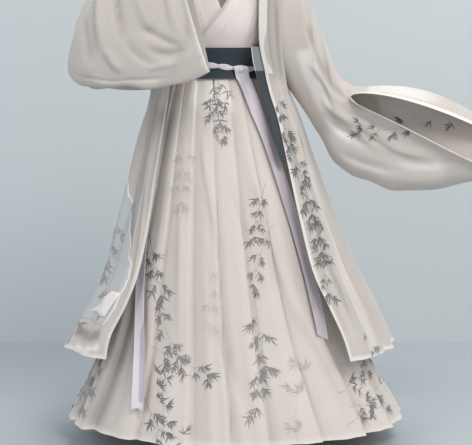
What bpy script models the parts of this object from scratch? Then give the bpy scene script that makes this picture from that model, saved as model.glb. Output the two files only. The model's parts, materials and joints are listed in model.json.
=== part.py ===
"""Hanfu set as worn: crossed-collar top, pleated skirt, sash and tie, open robe with wide sleeves.

Metres, +Z up.  The wearer faces -Y and their left side is +X.  The origin is midway between the two
points where the neck meets the shoulders, which is where the set hangs from its wearer.
"""
import math
from collections import namedtuple

import bpy
from mathutils import Vector

# ---------------------------------------------------------------- driving dimensions
SEAM_GAP = 0.0003           # clearance between two pieces that are sewn or lie together
SLEEVE_GAP = 0.0005         # clearance between a sleeve and the edge of its armhole
LAYER_GAP = 0.0016          # clearance between two curved layers, which have different facets

TOP_CLOTH = 0.0012          # wall thicknesses
COLLAR_CLOTH = 0.0012
SKIRT_CLOTH = 0.0011
LINING_CLOTH = 0.0010
WAISTBAND_CLOTH = 0.0020
SASH_CLOTH = 0.0022
RIBBON_CLOTH = 0.0012
ROBE_CLOTH = 0.0010
BAND_CLOTH = 0.0012

COLLAR_WIDTH = 0.034        # finished width of the top's collar strip
ROBE_BAND_WIDTH = 0.026     # finished width of the robe's front band
RIBBON_WIDTH = 0.032
RIBBON_POINT = 0.020        # how far the slanted end of a ribbon runs down
RIBBON_LEDGE = 0.004        # how far below the sash a ribbon still lies at the sash's level
RIBBON_CLEARANCE = 0.0012   # between a ribbon and the pleats that it crosses
WIDE_COUNT = 20             # points round a wide sleeve and a narrow one
NARROW_COUNT = 14
SLEEVE_POSITIONS = {        # where between its rows each robe sleeve has a ring of points
    "left": [0, 1, 2, 3, 3.5, 4, 4.5, 5, 5.5, 6, 6.5, 7],
    "right": [0, 0.5, 1, 1.5, 2, 2.5, 3, 3.5, 4, 4.5, 5, 5.5, 6, 6.5, 7],
}
SLEEVE_JOIN = 3             # the row where the outer length is sewn to each robe sleeve
WAIST_COUNT = 32
LINING_COUNT = 28

TOP_HEM_Z = -0.347
LINING_HEM_Z = -1.285
WAISTBAND_HEIGHTS = [-0.352, -0.337, -0.322, -0.300]            # from its lower edge to its upper one
SASH_HEIGHTS = [-0.372, -0.352, -0.337, -0.322, -0.305, -0.287]
SASH_FLARE = 0.0020         # how far the sash's lower edge stands out over the gathered skirt

PLEATS = 20                 # pleats round the skirt
PLEAT_DEPTH_TOP = 0.0035    # how far a pleat stands out at the waistband and at the hem
PLEAT_DEPTH_HEM = 0.030
PLEAT_SHARES = (0.0, 0.14, 0.38, 0.66, 0.88)    # where a pleat's points lie across it
LINING_GAP_TOP = 0.0004     # clearance between the lining and the skirt
LINING_GAP_HEM = 0.0036

COLOURS = {
    "top": (0.72, 0.67, 0.64),
    "skirt": (0.74, 0.70, 0.64),
    "lining": (0.70, 0.64, 0.56),
    "sash": (0.024, 0.036, 0.048),
    "tie": (0.50, 0.46, 0.52),
    "robe": (0.60, 0.57, 0.53),
}
ROUGHNESS = {"top": 0.85, "skirt": 0.8, "lining": 0.85, "sash": 0.55, "tie": 0.5, "robe": 0.7}

# ---------------------------------------------------------------- body sections
# A torso section is a ring round the body.  `side` is the height of the ring where it crosses the
# side of the body, and the two drops say how much lower it runs at the front and the back.  Angles
# are in degrees, 0 at the front and 90 at the wearer's left side.
TorsoRow = namedtuple("TorsoRow", "side centre half_width front back front_drop back_drop "
                                  "left_edge right_edge")

TOP_ROWS = [  # side   centre half_width front  back  f_drop b_drop left  right
    TorsoRow(-0.372, 0.001, 0.1180, 0.0905, 0.0865, 0.000, 0.000, -70, -38),
    TorsoRow(-0.330, 0.000, 0.1190, 0.0920, 0.0860, 0.000, 0.000, -52, -30),
    TorsoRow(-0.287, 0.000, 0.1310, 0.1030, 0.0885, 0.000, 0.000, -32, -12),
    TorsoRow(-0.235, 0.000, 0.1500, 0.1170, 0.0950, 0.000, 0.000, -12, 6),
    TorsoRow(-0.190, 0.000, 0.1600, 0.1130, 0.0990, 0.000, 0.000, 2, 14),
    TorsoRow(-0.140, 0.000, 0.1680, 0.1000, 0.0980, 0.000, 0.000, 12, 20),
    TorsoRow(-0.090, 0.000, 0.1770, 0.0860, 0.0940, 0.002, 0.000, 18, 22),
    TorsoRow(-0.047, 0.000, 0.1830, 0.0720, 0.0860, 0.014, 0.004, 23, 25),
    TorsoRow(-0.024, 0.000, 0.1250, 0.0600, 0.0720, 0.030, 0.006, 35, 37),
    TorsoRow(-0.001, 0.000, 0.0680, 0.0480, 0.0600, 0.050, 0.006, 62, 62),
]
TOP_UNDERARM = 4            # row where the top's side seam ends
TOP_TIP = 7                 # row that passes over the shoulder tip
ARMHOLE_BITE = 28           # degrees that an armhole takes out of the front, and of the back

ROBE_ROWS = [
    TorsoRow(-1.122, 0.041, 0.4400, 0.3500, 0.364, 0.010, 0.020, 46, 51),
    TorsoRow(-1.058, 0.039, 0.4140, 0.3260, 0.341, 0.006, 0.012, 46, 52),
    TorsoRow(-0.975, 0.037, 0.3750, 0.2960, 0.311, 0.003, 0.006, 44, 49),
    TorsoRow(-0.880, 0.032, 0.3320, 0.2640, 0.280, 0.000, 0.000, 42, 47),
    TorsoRow(-0.730, 0.021, 0.2820, 0.2260, 0.240, 0.000, 0.000, 44, 46),
    TorsoRow(-0.585, 0.013, 0.2400, 0.1920, 0.205, 0.000, 0.000, 46, 47),
    TorsoRow(-0.480, 0.010, 0.2120, 0.1680, 0.178, 0.000, 0.000, 46, 47),
    TorsoRow(-0.405, 0.004, 0.1910, 0.1520, 0.158, 0.000, 0.000, 45, 46),
    TorsoRow(-0.330, 0.000, 0.1880, 0.1480, 0.148, 0.000, 0.000, 41, 43),
    TorsoRow(-0.240, 0.000, 0.1900, 0.1420, 0.138, 0.000, 0.000, 39, 41),
    TorsoRow(-0.150, 0.000, 0.1960, 0.1240, 0.128, 0.000, 0.000, 38, 39),
    TorsoRow(-0.090, 0.000, 0.1990, 0.1060, 0.118, 0.003, 0.000, 38, 39),
    TorsoRow(-0.0496, 0.000, 0.1960, 0.0900, 0.104, 0.014, 0.004, 42, 42),
    TorsoRow(-0.0276, 0.000, 0.1400, 0.0780, 0.090, 0.026, 0.006, 54, 54),
    TorsoRow(-0.0036, 0.000, 0.0880, 0.0640, 0.076, 0.040, 0.004, 71, 71),
]
ROBE_UNDERARM = 7
ROBE_TIP = 12
BAND_END_ROW = 7.2          # the robe's front band ends at the waist
NECK_STRIP_ROWS = 0.6       # rows that the strip round the back of a neck takes up
STRIP_SHARE = 0.93          # most of a front's width that its strip may take up

# Robe folds run down the cloth: `angle` is where a fold stands out, `width` is its spread in degrees
# and `depth` how far it stands out at the hem.
Fold = namedtuple("Fold", "angle width depth")
ROBE_FOLDS = [
    Fold(-62, 6.5, 0.016), Fold(-78, 6.0, 0.020), Fold(-97, 7.5, 0.024), Fold(-116, 7.0, 0.030),
    Fold(-137, 8.5, 0.026), Fold(-158, 8.0, 0.032), Fold(-181, 9.0, 0.028), Fold(-203, 8.0, 0.034),
    Fold(-225, 8.5, 0.026), Fold(-246, 7.5, 0.030), Fold(-266, 7.0, 0.022), Fold(-284, 6.5, 0.022),
    Fold(-302, 6.0, 0.016),
]

# The skirt's sections, without its pleats.
SkirtRow = namedtuple("SkirtRow", "z centre half_width front back")
SKIRT_ROWS = [
    SkirtRow(-0.3523, 0.001, 0.1225, 0.0955, 0.0915),
    SkirtRow(-0.3750, 0.001, 0.1245, 0.0975, 0.0940),
    SkirtRow(-0.4300, 0.003, 0.1430, 0.1140, 0.1120),
    SkirtRow(-0.5600, 0.009, 0.1790, 0.1420, 0.1440),
    SkirtRow(-0.7400, 0.017, 0.2265, 0.1775, 0.1850),
    SkirtRow(-0.9200, 0.024, 0.2790, 0.2170, 0.2285),
    SkirtRow(-1.0800, 0.033, 0.3330, 0.2575, 0.2730),
    SkirtRow(-1.2200, 0.043, 0.3990, 0.3070, 0.3240),
    SkirtRow(-1.3300, 0.048, 0.4580, 0.3470, 0.3680),
]

# ---------------------------------------------------------------- sleeve sections
# A sleeve's section is an oval.  `arm_end` is its end by the arm, `seam_end` its far end, where the
# lower seam runs, and `side` goes from its middle to the side that continues the front of the body.
# `bow` lifts the middle of the section, and `fullness` makes the oval fuller by the arm.
SleeveRow = namedtuple("SleeveRow", "arm_end seam_end side bow fullness curl", defaults=(0.0,))
RIGHT_SLEEVE = [
    SleeveRow((-0.240, -0.005, -0.070), (-0.238, -0.003, -0.408), (0.005, -0.062, 0.000), 0.000, 0.32),
    SleeveRow((-0.290, -0.034, -0.105), (-0.310, -0.030, -0.402), (0.018, -0.053, 0.000), 0.000, 0.25),
    SleeveRow((-0.314, -0.080, -0.128), (-0.368, -0.076, -0.388), (0.038, -0.026, 0.000), 0.000, 0.04),
    SleeveRow((-0.315, -0.132, -0.130), (-0.385, -0.142, -0.378), (0.037, 0.006, 0.000), 0.000, -0.16),
    SleeveRow((-0.288, -0.182, -0.112), (-0.335, -0.210, -0.386), (0.032, 0.039, 0.000), 0.000, 0.06),
    SleeveRow((-0.234, -0.214, -0.074), (-0.246, -0.248, -0.392), (0.018, 0.049, 0.000), 0.000, 0.25),
    SleeveRow((-0.174, -0.234, -0.024), (-0.142, -0.266, -0.386), (0.012, 0.048, 0.000), 0.000, 0.32),
    SleeveRow((-0.118, -0.246, 0.014), (-0.020, -0.262, -0.352), (0.008, 0.044, 0.000), 0.000, 0.32),
]
LEFT_SLEEVE = [
    SleeveRow((0.230, 0.005, -0.085), (0.243, 0.000, -0.468), (0.000, -0.064, 0.000), 0.000, 0.32),
    SleeveRow((0.254, 0.012, -0.165), (0.290, 0.000, -0.546), (0.000, -0.066, 0.000), 0.000, 0.28),
    SleeveRow((0.286, 0.014, -0.242), (0.345, -0.006, -0.626), (0.003, -0.068, -0.002), 0.000, 0.20),
    SleeveRow((0.312, 0.006, -0.312), (0.425, -0.014, -0.666), (0.006, -0.070, -0.012), 0.004, 0.05),
    SleeveRow((0.330, -0.010, -0.364), (0.530, -0.026, -0.680), (0.006, -0.070, -0.028), 0.016, -0.15),
    SleeveRow((0.344, -0.030, -0.400), (0.675, -0.036, -0.660), (0.002, -0.070, -0.048), 0.028, -0.32),
    SleeveRow((0.356, -0.054, -0.420), (0.806, -0.046, -0.604), (-0.004, -0.068, -0.066), 0.036, -0.42),
    SleeveRow((0.362, -0.074, -0.423), (0.814, -0.062, -0.598), (-0.006, -0.066, -0.066), 0.034, -0.42, 0.66),
]

# The top's sleeves are round tubes: a centre, a radius and the way that the arm runs there.
ArmRow = namedtuple("ArmRow", "centre radius along")
RIGHT_ARM = [
    ArmRow((-0.222, -0.002, -0.160), 0.0420, (-0.86, -0.22, -0.46)),
    ArmRow((-0.262, -0.016, -0.184), 0.0400, (-0.85, -0.38, -0.36)),
    ArmRow((-0.303, -0.043, -0.202), 0.0385, (-0.72, -0.66, -0.18)),
    ArmRow((-0.324, -0.067, -0.207), 0.0375, (-0.50, -0.86, -0.08)),
]
LEFT_ARM = [
    ArmRow((0.200, 0.006, -0.185), 0.0400, (0.35, 0.05, -0.94)),
    ArmRow((0.215, 0.010, -0.225), 0.0395, (0.38, 0.05, -0.92)),
    ArmRow((0.232, 0.013, -0.265), 0.0395, (0.42, 0.04, -0.90)),
    ArmRow((0.243, 0.014, -0.288), 0.0395, (0.44, 0.02, -0.90)),
]

# ---------------------------------------------------------------- routes of the hanging ribbons
RibbonRow = namedtuple("RibbonRow", "z angle")
KNOT_RIBBON = [             # from the knot, over the wearer's left leg
    RibbonRow(-0.3562, 29), RibbonRow(-0.375, 31), RibbonRow(-0.395, 34), RibbonRow(-0.455, 40),
    RibbonRow(-0.550, 45), RibbonRow(-0.730, 49), RibbonRow(-0.875, 49.5), RibbonRow(-0.990, 47.5),
    RibbonRow(-1.058, 46),
]
HIP_RIBBON = [              # from the tie at the wearer's right hip
    RibbonRow(-0.3430, -66), RibbonRow(-0.375, -65.5), RibbonRow(-0.395, -65), RibbonRow(-0.480, -63),
    RibbonRow(-0.640, -61), RibbonRow(-0.800, -57), RibbonRow(-0.990, -51), RibbonRow(-1.130, -43),
    RibbonRow(-1.245, -38),
]
KNOT_ANGLE = 28
KNOT_SIZE = (0.015, 0.009, 0.014)   # half its width, depth and height
KNOT_PINCH = 0.16           # how far the knot narrows where its turns cross
TIE_HALF_HEIGHT = 0.008
TIE_THICKNESS = 0.004
TIE_LEVEL_Z = -0.333        # height of the tie where it runs level
TIE_DIP = 0.013             # how far it sinks near its knot
TIE_DIP_ANGLE = 36
TIE_DIP_WIDTH = 34
TIE_SECTION = [(-0.75, 0.0), (-1.0, 0.4), (-0.55, 1.0), (0.55, 1.0), (1.0, 0.4), (0.75, 0.0)]


# ---------------------------------------------------------------- small helpers
def blend(rows, column, position):
    """Smooth value of one column at a fractional row number, carried on straight past the ends."""
    last = len(rows) - 1
    index = min(max(int(position), 0), last - 1)
    t = position - index
    values = [getattr(rows[min(max(index + k, 0), last)], column) for k in (-1, 0, 1, 2)]
    if isinstance(values[0], tuple):
        values = [Vector(value) for value in values]
    before, start, end, after = values
    if t < 0 or t > 1:
        return start + (end - start) * t
    slope_start = (end - before) * 0.5
    slope_end = (after - start) * 0.5
    return (start * (2 * t**3 - 3 * t**2 + 1) + slope_start * (t**3 - 2 * t**2 + t)
            + end * (3 * t**2 - 2 * t**3) + slope_end * (t**3 - t**2))


def row_at_height(rows, column, height):
    """Fractional row number at which a column, which only rises or falls, reaches a height."""
    low, high = 0.0, float(len(rows) - 1)
    rising = getattr(rows[-1], column) > getattr(rows[0], column)
    for _ in range(40):
        middle = (low + high) / 2
        if (blend(rows, column, middle) < height) == rising:
            low = middle
        else:
            high = middle
    return (low + high) / 2


def steps(start, end, count):
    return [start + (end - start) * k / count for k in range(count + 1)]


def bump(angle, centre, width):
    """Smooth hill, 1 at its centre, over angles in degrees that wrap at 360."""
    away = (angle - centre + 180.0) % 360.0 - 180.0
    return math.exp(-(away / width) ** 2)


def ring_point(angle, centre, half_width, front, back, height=0.0):
    turn = math.radians(angle)
    depth = front if math.cos(turn) > 0 else back
    return Vector((centre + half_width * math.sin(turn), -depth * math.cos(turn), height))


def surface_normal(surface, angle, row, step_angle=0.5, step_row=0.02):
    """Outward unit normal of a surface given as surface(angle, row), with rows that rise."""
    across = surface(angle + step_angle, row) - surface(angle - step_angle, row)
    upward = surface(angle, row + step_row) - surface(angle, row - step_row)
    return across.cross(upward).normalized()


def make_material(slot):
    material = bpy.data.materials.get(slot) or bpy.data.materials.new(slot)
    material.use_nodes = True
    shader = material.node_tree.nodes["Principled BSDF"]
    shader.inputs["Base Color"].default_value = (*COLOURS[slot], 1.0)
    shader.inputs["Roughness"].default_value = ROUGHNESS[slot]
    shader.inputs["Metallic"].default_value = 0.0
    return material


def make_object(name, points, triangles, slot):
    mesh = bpy.data.meshes.new(name)
    mesh.from_pydata([tuple(point) for point in points], [], triangles)
    mesh.update()
    mesh.shade_smooth()
    mesh.set_sharp_from_angle(angle=math.radians(50))
    mesh.materials.append(make_material(slot))
    obj = bpy.data.objects.new(name, mesh)
    bpy.context.scene.collection.objects.link(obj)
    return obj


def make_wall(name, outer, inner, slot, closed=False):
    """Solid between two grids of points, which lie one wall apart."""
    rows, columns = len(outer), len(outer[0])
    points = [point for grid in (outer, inner) for line in grid for point in line]
    inside = rows * columns
    triangles = []

    def number(row, column):
        return row * columns + column % columns

    def quad(a, b, c, d, short_first):
        if short_first:
            triangles.extend([(a, b, c), (a, c, d)])
        else:
            triangles.extend([(a, b, d), (b, c, d)])

    for row in range(rows - 1):
        for column in range(columns if closed else columns - 1):
            a, b = number(row, column), number(row, column + 1)
            c, d = number(row + 1, column + 1), number(row + 1, column)
            short_first = (points[a] - points[c]).length <= (points[b] - points[d]).length
            quad(a, b, c, d, short_first)
            quad(b + inside, a + inside, d + inside, c + inside, not short_first)
    for column in range(columns if closed else columns - 1):
        a, b = number(0, column), number(0, column + 1)
        quad(a, a + inside, b + inside, b, True)
        c, d = number(rows - 1, column), number(rows - 1, column + 1)
        quad(d, d + inside, c + inside, c, True)
    if not closed:
        for row in range(rows - 1):
            a, b = number(row, 0), number(row + 1, 0)
            quad(b, b + inside, a + inside, a, True)
            c, d = number(row, columns - 1), number(row + 1, columns - 1)
            quad(c, c + inside, d + inside, d, True)
    a, b, c = (points[index] for index in triangles[0])
    if (b - a).cross(c - a).dot(a - points[triangles[0][0] + inside]) < 0:
        triangles = [triangle[::-1] for triangle in triangles]
    return make_object(name, points, triangles, slot)


def shift_edge(grid, column, neighbour, distance):
    """Move one edge column towards its neighbour, to open half a seam's gap."""
    for line in grid:
        line[column] = line[column] + (line[neighbour] - line[column]).normalized() * distance


def make_patch(name, surface, angles_of_row, row_numbers, lift_of, thickness, slot,
               seam_start=False, seam_end=False):
    """Panel cut from a surface: each row number has a list of angles from one edge to the other."""
    outer, inner = [], []
    for row in row_numbers:
        outer_line, inner_line = [], []
        for angle in angles_of_row(row):
            base = surface(angle, row)
            normal = surface_normal(surface, angle, row)
            lift = lift_of(angle, row)
            outer_line.append(base + normal * (lift + thickness))
            inner_line.append(base + normal * lift)
        outer.append(outer_line)
        inner.append(inner_line)
    for grid in (outer, inner):
        if seam_start:
            shift_edge(grid, 0, 1, SEAM_GAP / 2)
        if seam_end:
            shift_edge(grid, -1, -2, SEAM_GAP / 2)
    make_wall(name, outer, inner, slot)
    return outer


# ---------------------------------------------------------------- surfaces of the garments
def torso_point(rows, angle, row, fold=0.0):
    turn = math.radians(angle)
    front_side = math.cos(turn) > 0
    drop = blend(rows, "front_drop" if front_side else "back_drop", row)
    height = blend(rows, "side", row) - drop * math.cos(turn) ** 2
    return ring_point(angle, blend(rows, "centre", row), blend(rows, "half_width", row) + fold,
                      blend(rows, "front", row) + fold, blend(rows, "back", row) + fold, height)


def armhole_edge(underarm, tip, row):
    """Angle at which a front ends: the side seam, the armhole, then the shoulder seam."""
    along = (row - underarm) / (tip - underarm)
    return 90.0 - (ARMHOLE_BITE * math.sin(math.pi * along) ** 0.8 if 0.0 < along < 1.0 else 0.0)


def top_edge(row):
    return armhole_edge(TOP_UNDERARM, TOP_TIP, row)


def robe_edge(row):
    return armhole_edge(ROBE_UNDERARM, ROBE_TIP, row)


def top_surface(angle, row):
    return torso_point(TOP_ROWS, angle, row)


def robe_surface(angle, row):
    """The robe's folds fade out towards the shoulders."""
    fade = max(0.0, 1.0 - row / (ROBE_UNDERARM + 1.5)) ** 1.3
    fold = sum(fold.depth * bump(angle, fold.angle, fold.width) for fold in ROBE_FOLDS)
    return torso_point(ROBE_ROWS, angle, row, fold * fade)


def pleat_edge(number):
    """Angle of the deep edge between two pleats.  The uneven spacing repeats round the waist."""
    step = 2 * math.pi * number / PLEATS
    return -5.0 + 360.0 / PLEATS * number + 3.0 * math.sin(8 * step) + 1.2 * math.sin(3 * step)


def pleat_height(angle):
    """0 in the deep edge between two pleats and up to about 1 on a pleat's broad face."""
    for number in range(-PLEATS // 2 - 1, PLEATS // 2 + 2):
        start, end = pleat_edge(number), pleat_edge(number + 1)
        if start <= angle < end:
            along = (angle - start) / (end - start)
            size = 0.82 + 0.18 * math.sin(2 * math.pi * 7 * number / PLEATS + 1.0)
            return size * (1.0 - abs(2.0 * along - 1.0) ** 3.0)
    return 0.0


def pleat_depth(height):
    along = (height - SKIRT_ROWS[0].z) / (SKIRT_ROWS[-1].z - SKIRT_ROWS[0].z)
    return PLEAT_DEPTH_TOP + (PLEAT_DEPTH_HEM - PLEAT_DEPTH_TOP) * max(0.0, along) ** 0.9


def skirt_point(angle, height, stand_out):
    """Point on the skirt's smooth form, moved out by stand_out."""
    row = row_at_height(SKIRT_ROWS, "z", height)
    return ring_point(angle, blend(SKIRT_ROWS, "centre", row),
                      blend(SKIRT_ROWS, "half_width", row) + stand_out,
                      blend(SKIRT_ROWS, "front", row) + stand_out,
                      blend(SKIRT_ROWS, "back", row) + stand_out, height)


# ---------------------------------------------------------------- fronts, backs and their strips
def strip_spread(surface, edge_of, row, width):
    """Angle across which a strip of this width runs, beside the edge edge_of(row)."""
    edge = edge_of(row)
    across = (surface(edge + 0.5, row) - surface(edge - 0.5, row))
    along = surface(edge_of(row + 0.05), row + 0.05) - surface(edge_of(row - 0.05), row - 0.05)
    return width / across.cross(along.normalized()).length


def make_front(names, surface, row_numbers, front_edge, side_edge, side, columns, strip, slot):
    """A front and the strip on its front edge, whose first columns are the front's own, moved out."""
    lift_of, cloth, strip_width, strip_cloth, strip_rows = strip

    def angles(row):
        edge, end = front_edge(row), side_edge(row)
        widest = (end - edge) * STRIP_SHARE
        spread = min(strip_spread(surface, front_edge, row, strip_width), widest)
        if row > row_numbers[-1] - NECK_STRIP_ROWS - 1e-6:
            spread = widest
        return [edge, edge + spread / 2, edge + spread], edge + spread, end

    def panel(row):
        near, start, end = angles(row)
        line = near + steps(start, end, columns)[1:]
        return line if side > 0 else [-angle for angle in reversed(line)]

    def border(row):
        near = angles(row)[0]
        return near if side > 0 else [-angle for angle in reversed(near)]

    make_patch(names[0], surface, panel, row_numbers, lift_of, cloth, slot,
               seam_start=side < 0, seam_end=side > 0)
    make_patch(names[1], surface, border, strip_rows,
               lambda angle, row: lift_of(angle, row) + cloth + SEAM_GAP, strip_cloth, slot)


def make_back(names, surface, row_numbers, side_edge, columns, cloth, strip_cloth, slot):
    """A back and the strip round the back of its neck, whose rows are the back's own, moved out."""
    def panel(row):
        return steps(180 - side_edge(row), 180 + side_edge(row), columns)

    make_patch(names[0], surface, panel, row_numbers, flat, cloth, slot, seam_start=True, seam_end=True)
    neck_rows = [row for row in row_numbers if row > row_numbers[-1] - NECK_STRIP_ROWS - 1e-6]
    make_patch(names[1], surface, panel, neck_rows, lambda angle, row: cloth + SEAM_GAP, strip_cloth,
               slot, seam_start=True, seam_end=True)


def flat(_angle, _row):
    return 0.0


# ---------------------------------------------------------------- the crossed-collar top
TOP_ROW_NUMBERS = ([row_at_height(TOP_ROWS, "side", TOP_HEM_Z), 1, 1.5, 2, 2.5, 3, 3.5]
                   + steps(TOP_UNDERARM, TOP_TIP, NARROW_COUNT // 2) + [7.7, 8.4, 8.7, 9])
OVER_LIFT = TOP_CLOTH + SEAM_GAP + COLLAR_CLOTH + LAYER_GAP


def over_lift(angle, row):
    """The wearer's left front lies over the right one and its collar, and on the body elsewhere."""
    aside = min(1.0, max(0.0, (60.0 - angle) / 20.0))
    above = min(1.0, max(0.0, (6.0 - row) / 1.8))
    return OVER_LIFT * aside * above


def make_top():
    make_back(("top_back", "top_collar_back"), top_surface, TOP_ROW_NUMBERS, top_edge, 11, TOP_CLOTH,
              COLLAR_CLOTH, "top")
    for label, side, lift_of in (("left", 1, over_lift), ("right", -1, flat)):
        make_front(("top_front_" + label, "top_collar_" + label), top_surface, TOP_ROW_NUMBERS,
                   lambda row, column=label + "_edge": blend(TOP_ROWS, column, row), top_edge, side, 9,
                   (lift_of, TOP_CLOTH, COLLAR_WIDTH, COLLAR_CLOTH, TOP_ROW_NUMBERS), "top")


# ---------------------------------------------------------------- sleeves
def armhole_loop(surface, underarm, tip, count, side, lift):
    """Points of an armhole's edge: from the shoulder down the front and up the back again."""
    half = count // 2
    loop = []
    for index in range(count):
        down = index if index <= half else count - index
        row = tip + (underarm - tip) * down / half
        edge = armhole_edge(underarm, tip, row)
        angle = side * (edge if index <= half else 180 - edge)
        loop.append(surface(angle, row) + surface_normal(surface, angle, row) * lift)
    return loop


def oval_section(rows, position, count):
    arm_end = blend(rows, "arm_end", position)
    seam_end = blend(rows, "seam_end", position)
    side = blend(rows, "side", position)
    bow = blend(rows, "bow", position)
    extra = blend(rows, "fullness", position)
    curl = blend(rows, "curl", position)
    ring = []
    for index in range(count):
        turn = 2 * math.pi * index / count
        along = -math.cos(turn)
        fullness = (1.0 - extra * along) * (1.0 + curl * min(math.sin(turn), 0.0))
        point = (arm_end + seam_end) / 2 + (seam_end - arm_end) / 2 * along
        ring.append(point + side * math.sin(turn) * fullness + Vector((0, 0, bow * (1 - along**2))))
    return ring


def arm_section(rows, position, count, up):
    """Circle square to the arm.  Its first point is the one that looks most upwards."""
    centre = blend(rows, "centre", position)
    along = blend(rows, "along", position).normalized()
    top = (up - along * up.dot(along)).normalized()
    front = along.cross(top) * math.copysign(1.0, up.x)
    radius = blend(rows, "radius", position)
    turns = [2 * math.pi * index / count for index in range(count)]
    return [centre + (top * math.cos(turn) + front * math.sin(turn)) * radius for turn in turns]


def make_sleeve(name, first_ring, section, positions, thickness, slot, join=None):
    """Tube from an armhole through the sections at the positions, the first of them at 0.

    Where join is the number of a ring, the length beyond it is a piece of its own, name_end.
    """
    second_ring = section(positions[0])
    first_ring = [a + (b - a).normalized() * SLEEVE_GAP for a, b in zip(first_ring, second_ring)]
    rings = [first_ring] + [section(position) for position in positions]
    outer, inner = [], []
    for number, ring in enumerate(rings):
        ahead = rings[min(number + 1, len(rings) - 1)]
        behind = rings[max(number - 1, 0)]
        count = len(ring)
        middle = sum(ring, Vector()) / count
        inner_ring = []
        for index, point in enumerate(ring):
            across = ring[(index + 1) % count] - ring[index - 1]
            along = ahead[index] - behind[index]
            normal = across.cross(along).normalized()
            inner_ring.append(normal)
        sign = 1 if sum(n.dot(p - middle) for n, p in zip(inner_ring, ring)) > 0 else -1
        outer.append(ring)
        inner.append([point - normal * sign * thickness for point, normal in zip(ring, inner_ring)])
    if join is None:
        make_wall(name, outer, inner, slot, closed=True)
        return
    make_wall(name, outer[:join + 1], inner[:join + 1], slot, closed=True)
    for layer in (outer, inner):
        layer[join] = [a + (b - a).normalized() * SLEEVE_GAP
                       for a, b in zip(layer[join], layer[join + 1])]
    make_wall(name + "_end", outer[join:], inner[join:], slot, closed=True)


def make_sleeves():
    for label, side, wide, arm in (("left", 1, LEFT_SLEEVE, LEFT_ARM),
                                   ("right", -1, RIGHT_SLEEVE, RIGHT_ARM)):
        armhole = armhole_loop(robe_surface, ROBE_UNDERARM, ROBE_TIP, WIDE_COUNT, side, ROBE_CLOTH)
        positions = SLEEVE_POSITIONS[label]
        make_sleeve("robe_sleeve_" + label, armhole,
                    lambda position, rows=wide: oval_section(rows, position, WIDE_COUNT),
                    positions, ROBE_CLOTH, "robe", positions.index(SLEEVE_JOIN) + 1)
        armhole = armhole_loop(top_surface, TOP_UNDERARM, TOP_TIP, NARROW_COUNT, side, TOP_CLOTH)
        up = Vector((side, 0, 0.4))
        make_sleeve("top_sleeve_" + label, armhole,
                    lambda position, rows=arm, up=up: arm_section(rows, position, NARROW_COUNT, up),
                    steps(0, len(arm) - 1, len(arm) - 1), TOP_CLOTH, "top")


# ---------------------------------------------------------------- waist
WAISTBAND_LIFT = OVER_LIFT + TOP_CLOTH + SEAM_GAP + COLLAR_CLOTH + LAYER_GAP
SASH_LIFT = WAISTBAND_LIFT + WAISTBAND_CLOTH + 2 * SEAM_GAP
TIE_LIFT = SASH_LIFT + SASH_CLOTH + 2 * SEAM_GAP


def waist_point(angle, height, lift):
    """Point at a lift over the top's surface, straight out from it."""
    row = row_at_height(TOP_ROWS, "side", height)
    outward = surface_normal(top_surface, angle, row)
    outward.z = 0.0
    return top_surface(angle, row) + outward.normalized() * lift


def ring_wall(name, heights, lift_of, thickness, slot):
    """Band round the waist, at a lift over the top's surface."""
    angles = [360.0 * column / WAIST_COUNT for column in range(WAIST_COUNT)]
    outer = [[waist_point(angle, z, lift_of(z) + thickness) for angle in angles] for z in heights]
    inner = [[waist_point(angle, z, lift_of(z)) for angle in angles] for z in heights]
    make_wall(name, outer, inner, slot, closed=True)


def waistband_lift(_height):
    return WAISTBAND_LIFT


def sash_lift(height):
    """The sash stands out below the waistband, where it lies over the gathered skirt."""
    hem, edge = SASH_HEIGHTS[0], WAISTBAND_HEIGHTS[0]
    return SASH_LIFT + SASH_FLARE * max(0.0, (edge - height) / (edge - hem))


def tie_height(angle):
    """Height of the tie's middle, which dips towards its knot."""
    return TIE_LEVEL_Z - TIE_DIP * bump(angle, TIE_DIP_ANGLE, TIE_DIP_WIDTH)


def make_tie():
    """A soft flattened cord round the sash: each section is a hexagon."""
    points, triangles = [], []
    for column in range(WAIST_COUNT):
        angle = 360.0 * column / WAIST_COUNT
        for rise, out in TIE_SECTION:
            height = tie_height(angle) + rise * TIE_HALF_HEIGHT
            points.append(waist_point(angle, height, TIE_LIFT + out * TIE_THICKNESS))
    size = len(TIE_SECTION)
    for column in range(WAIST_COUNT):
        beside = (column + 1) % WAIST_COUNT
        for corner in range(size):
            after = (corner + 1) % size
            a, b = column * size + corner, column * size + after
            c, d = beside * size + after, beside * size + corner
            triangles.extend([(a, c, b), (a, d, c)])
    make_object("tie_band", points, triangles, "tie")


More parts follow.
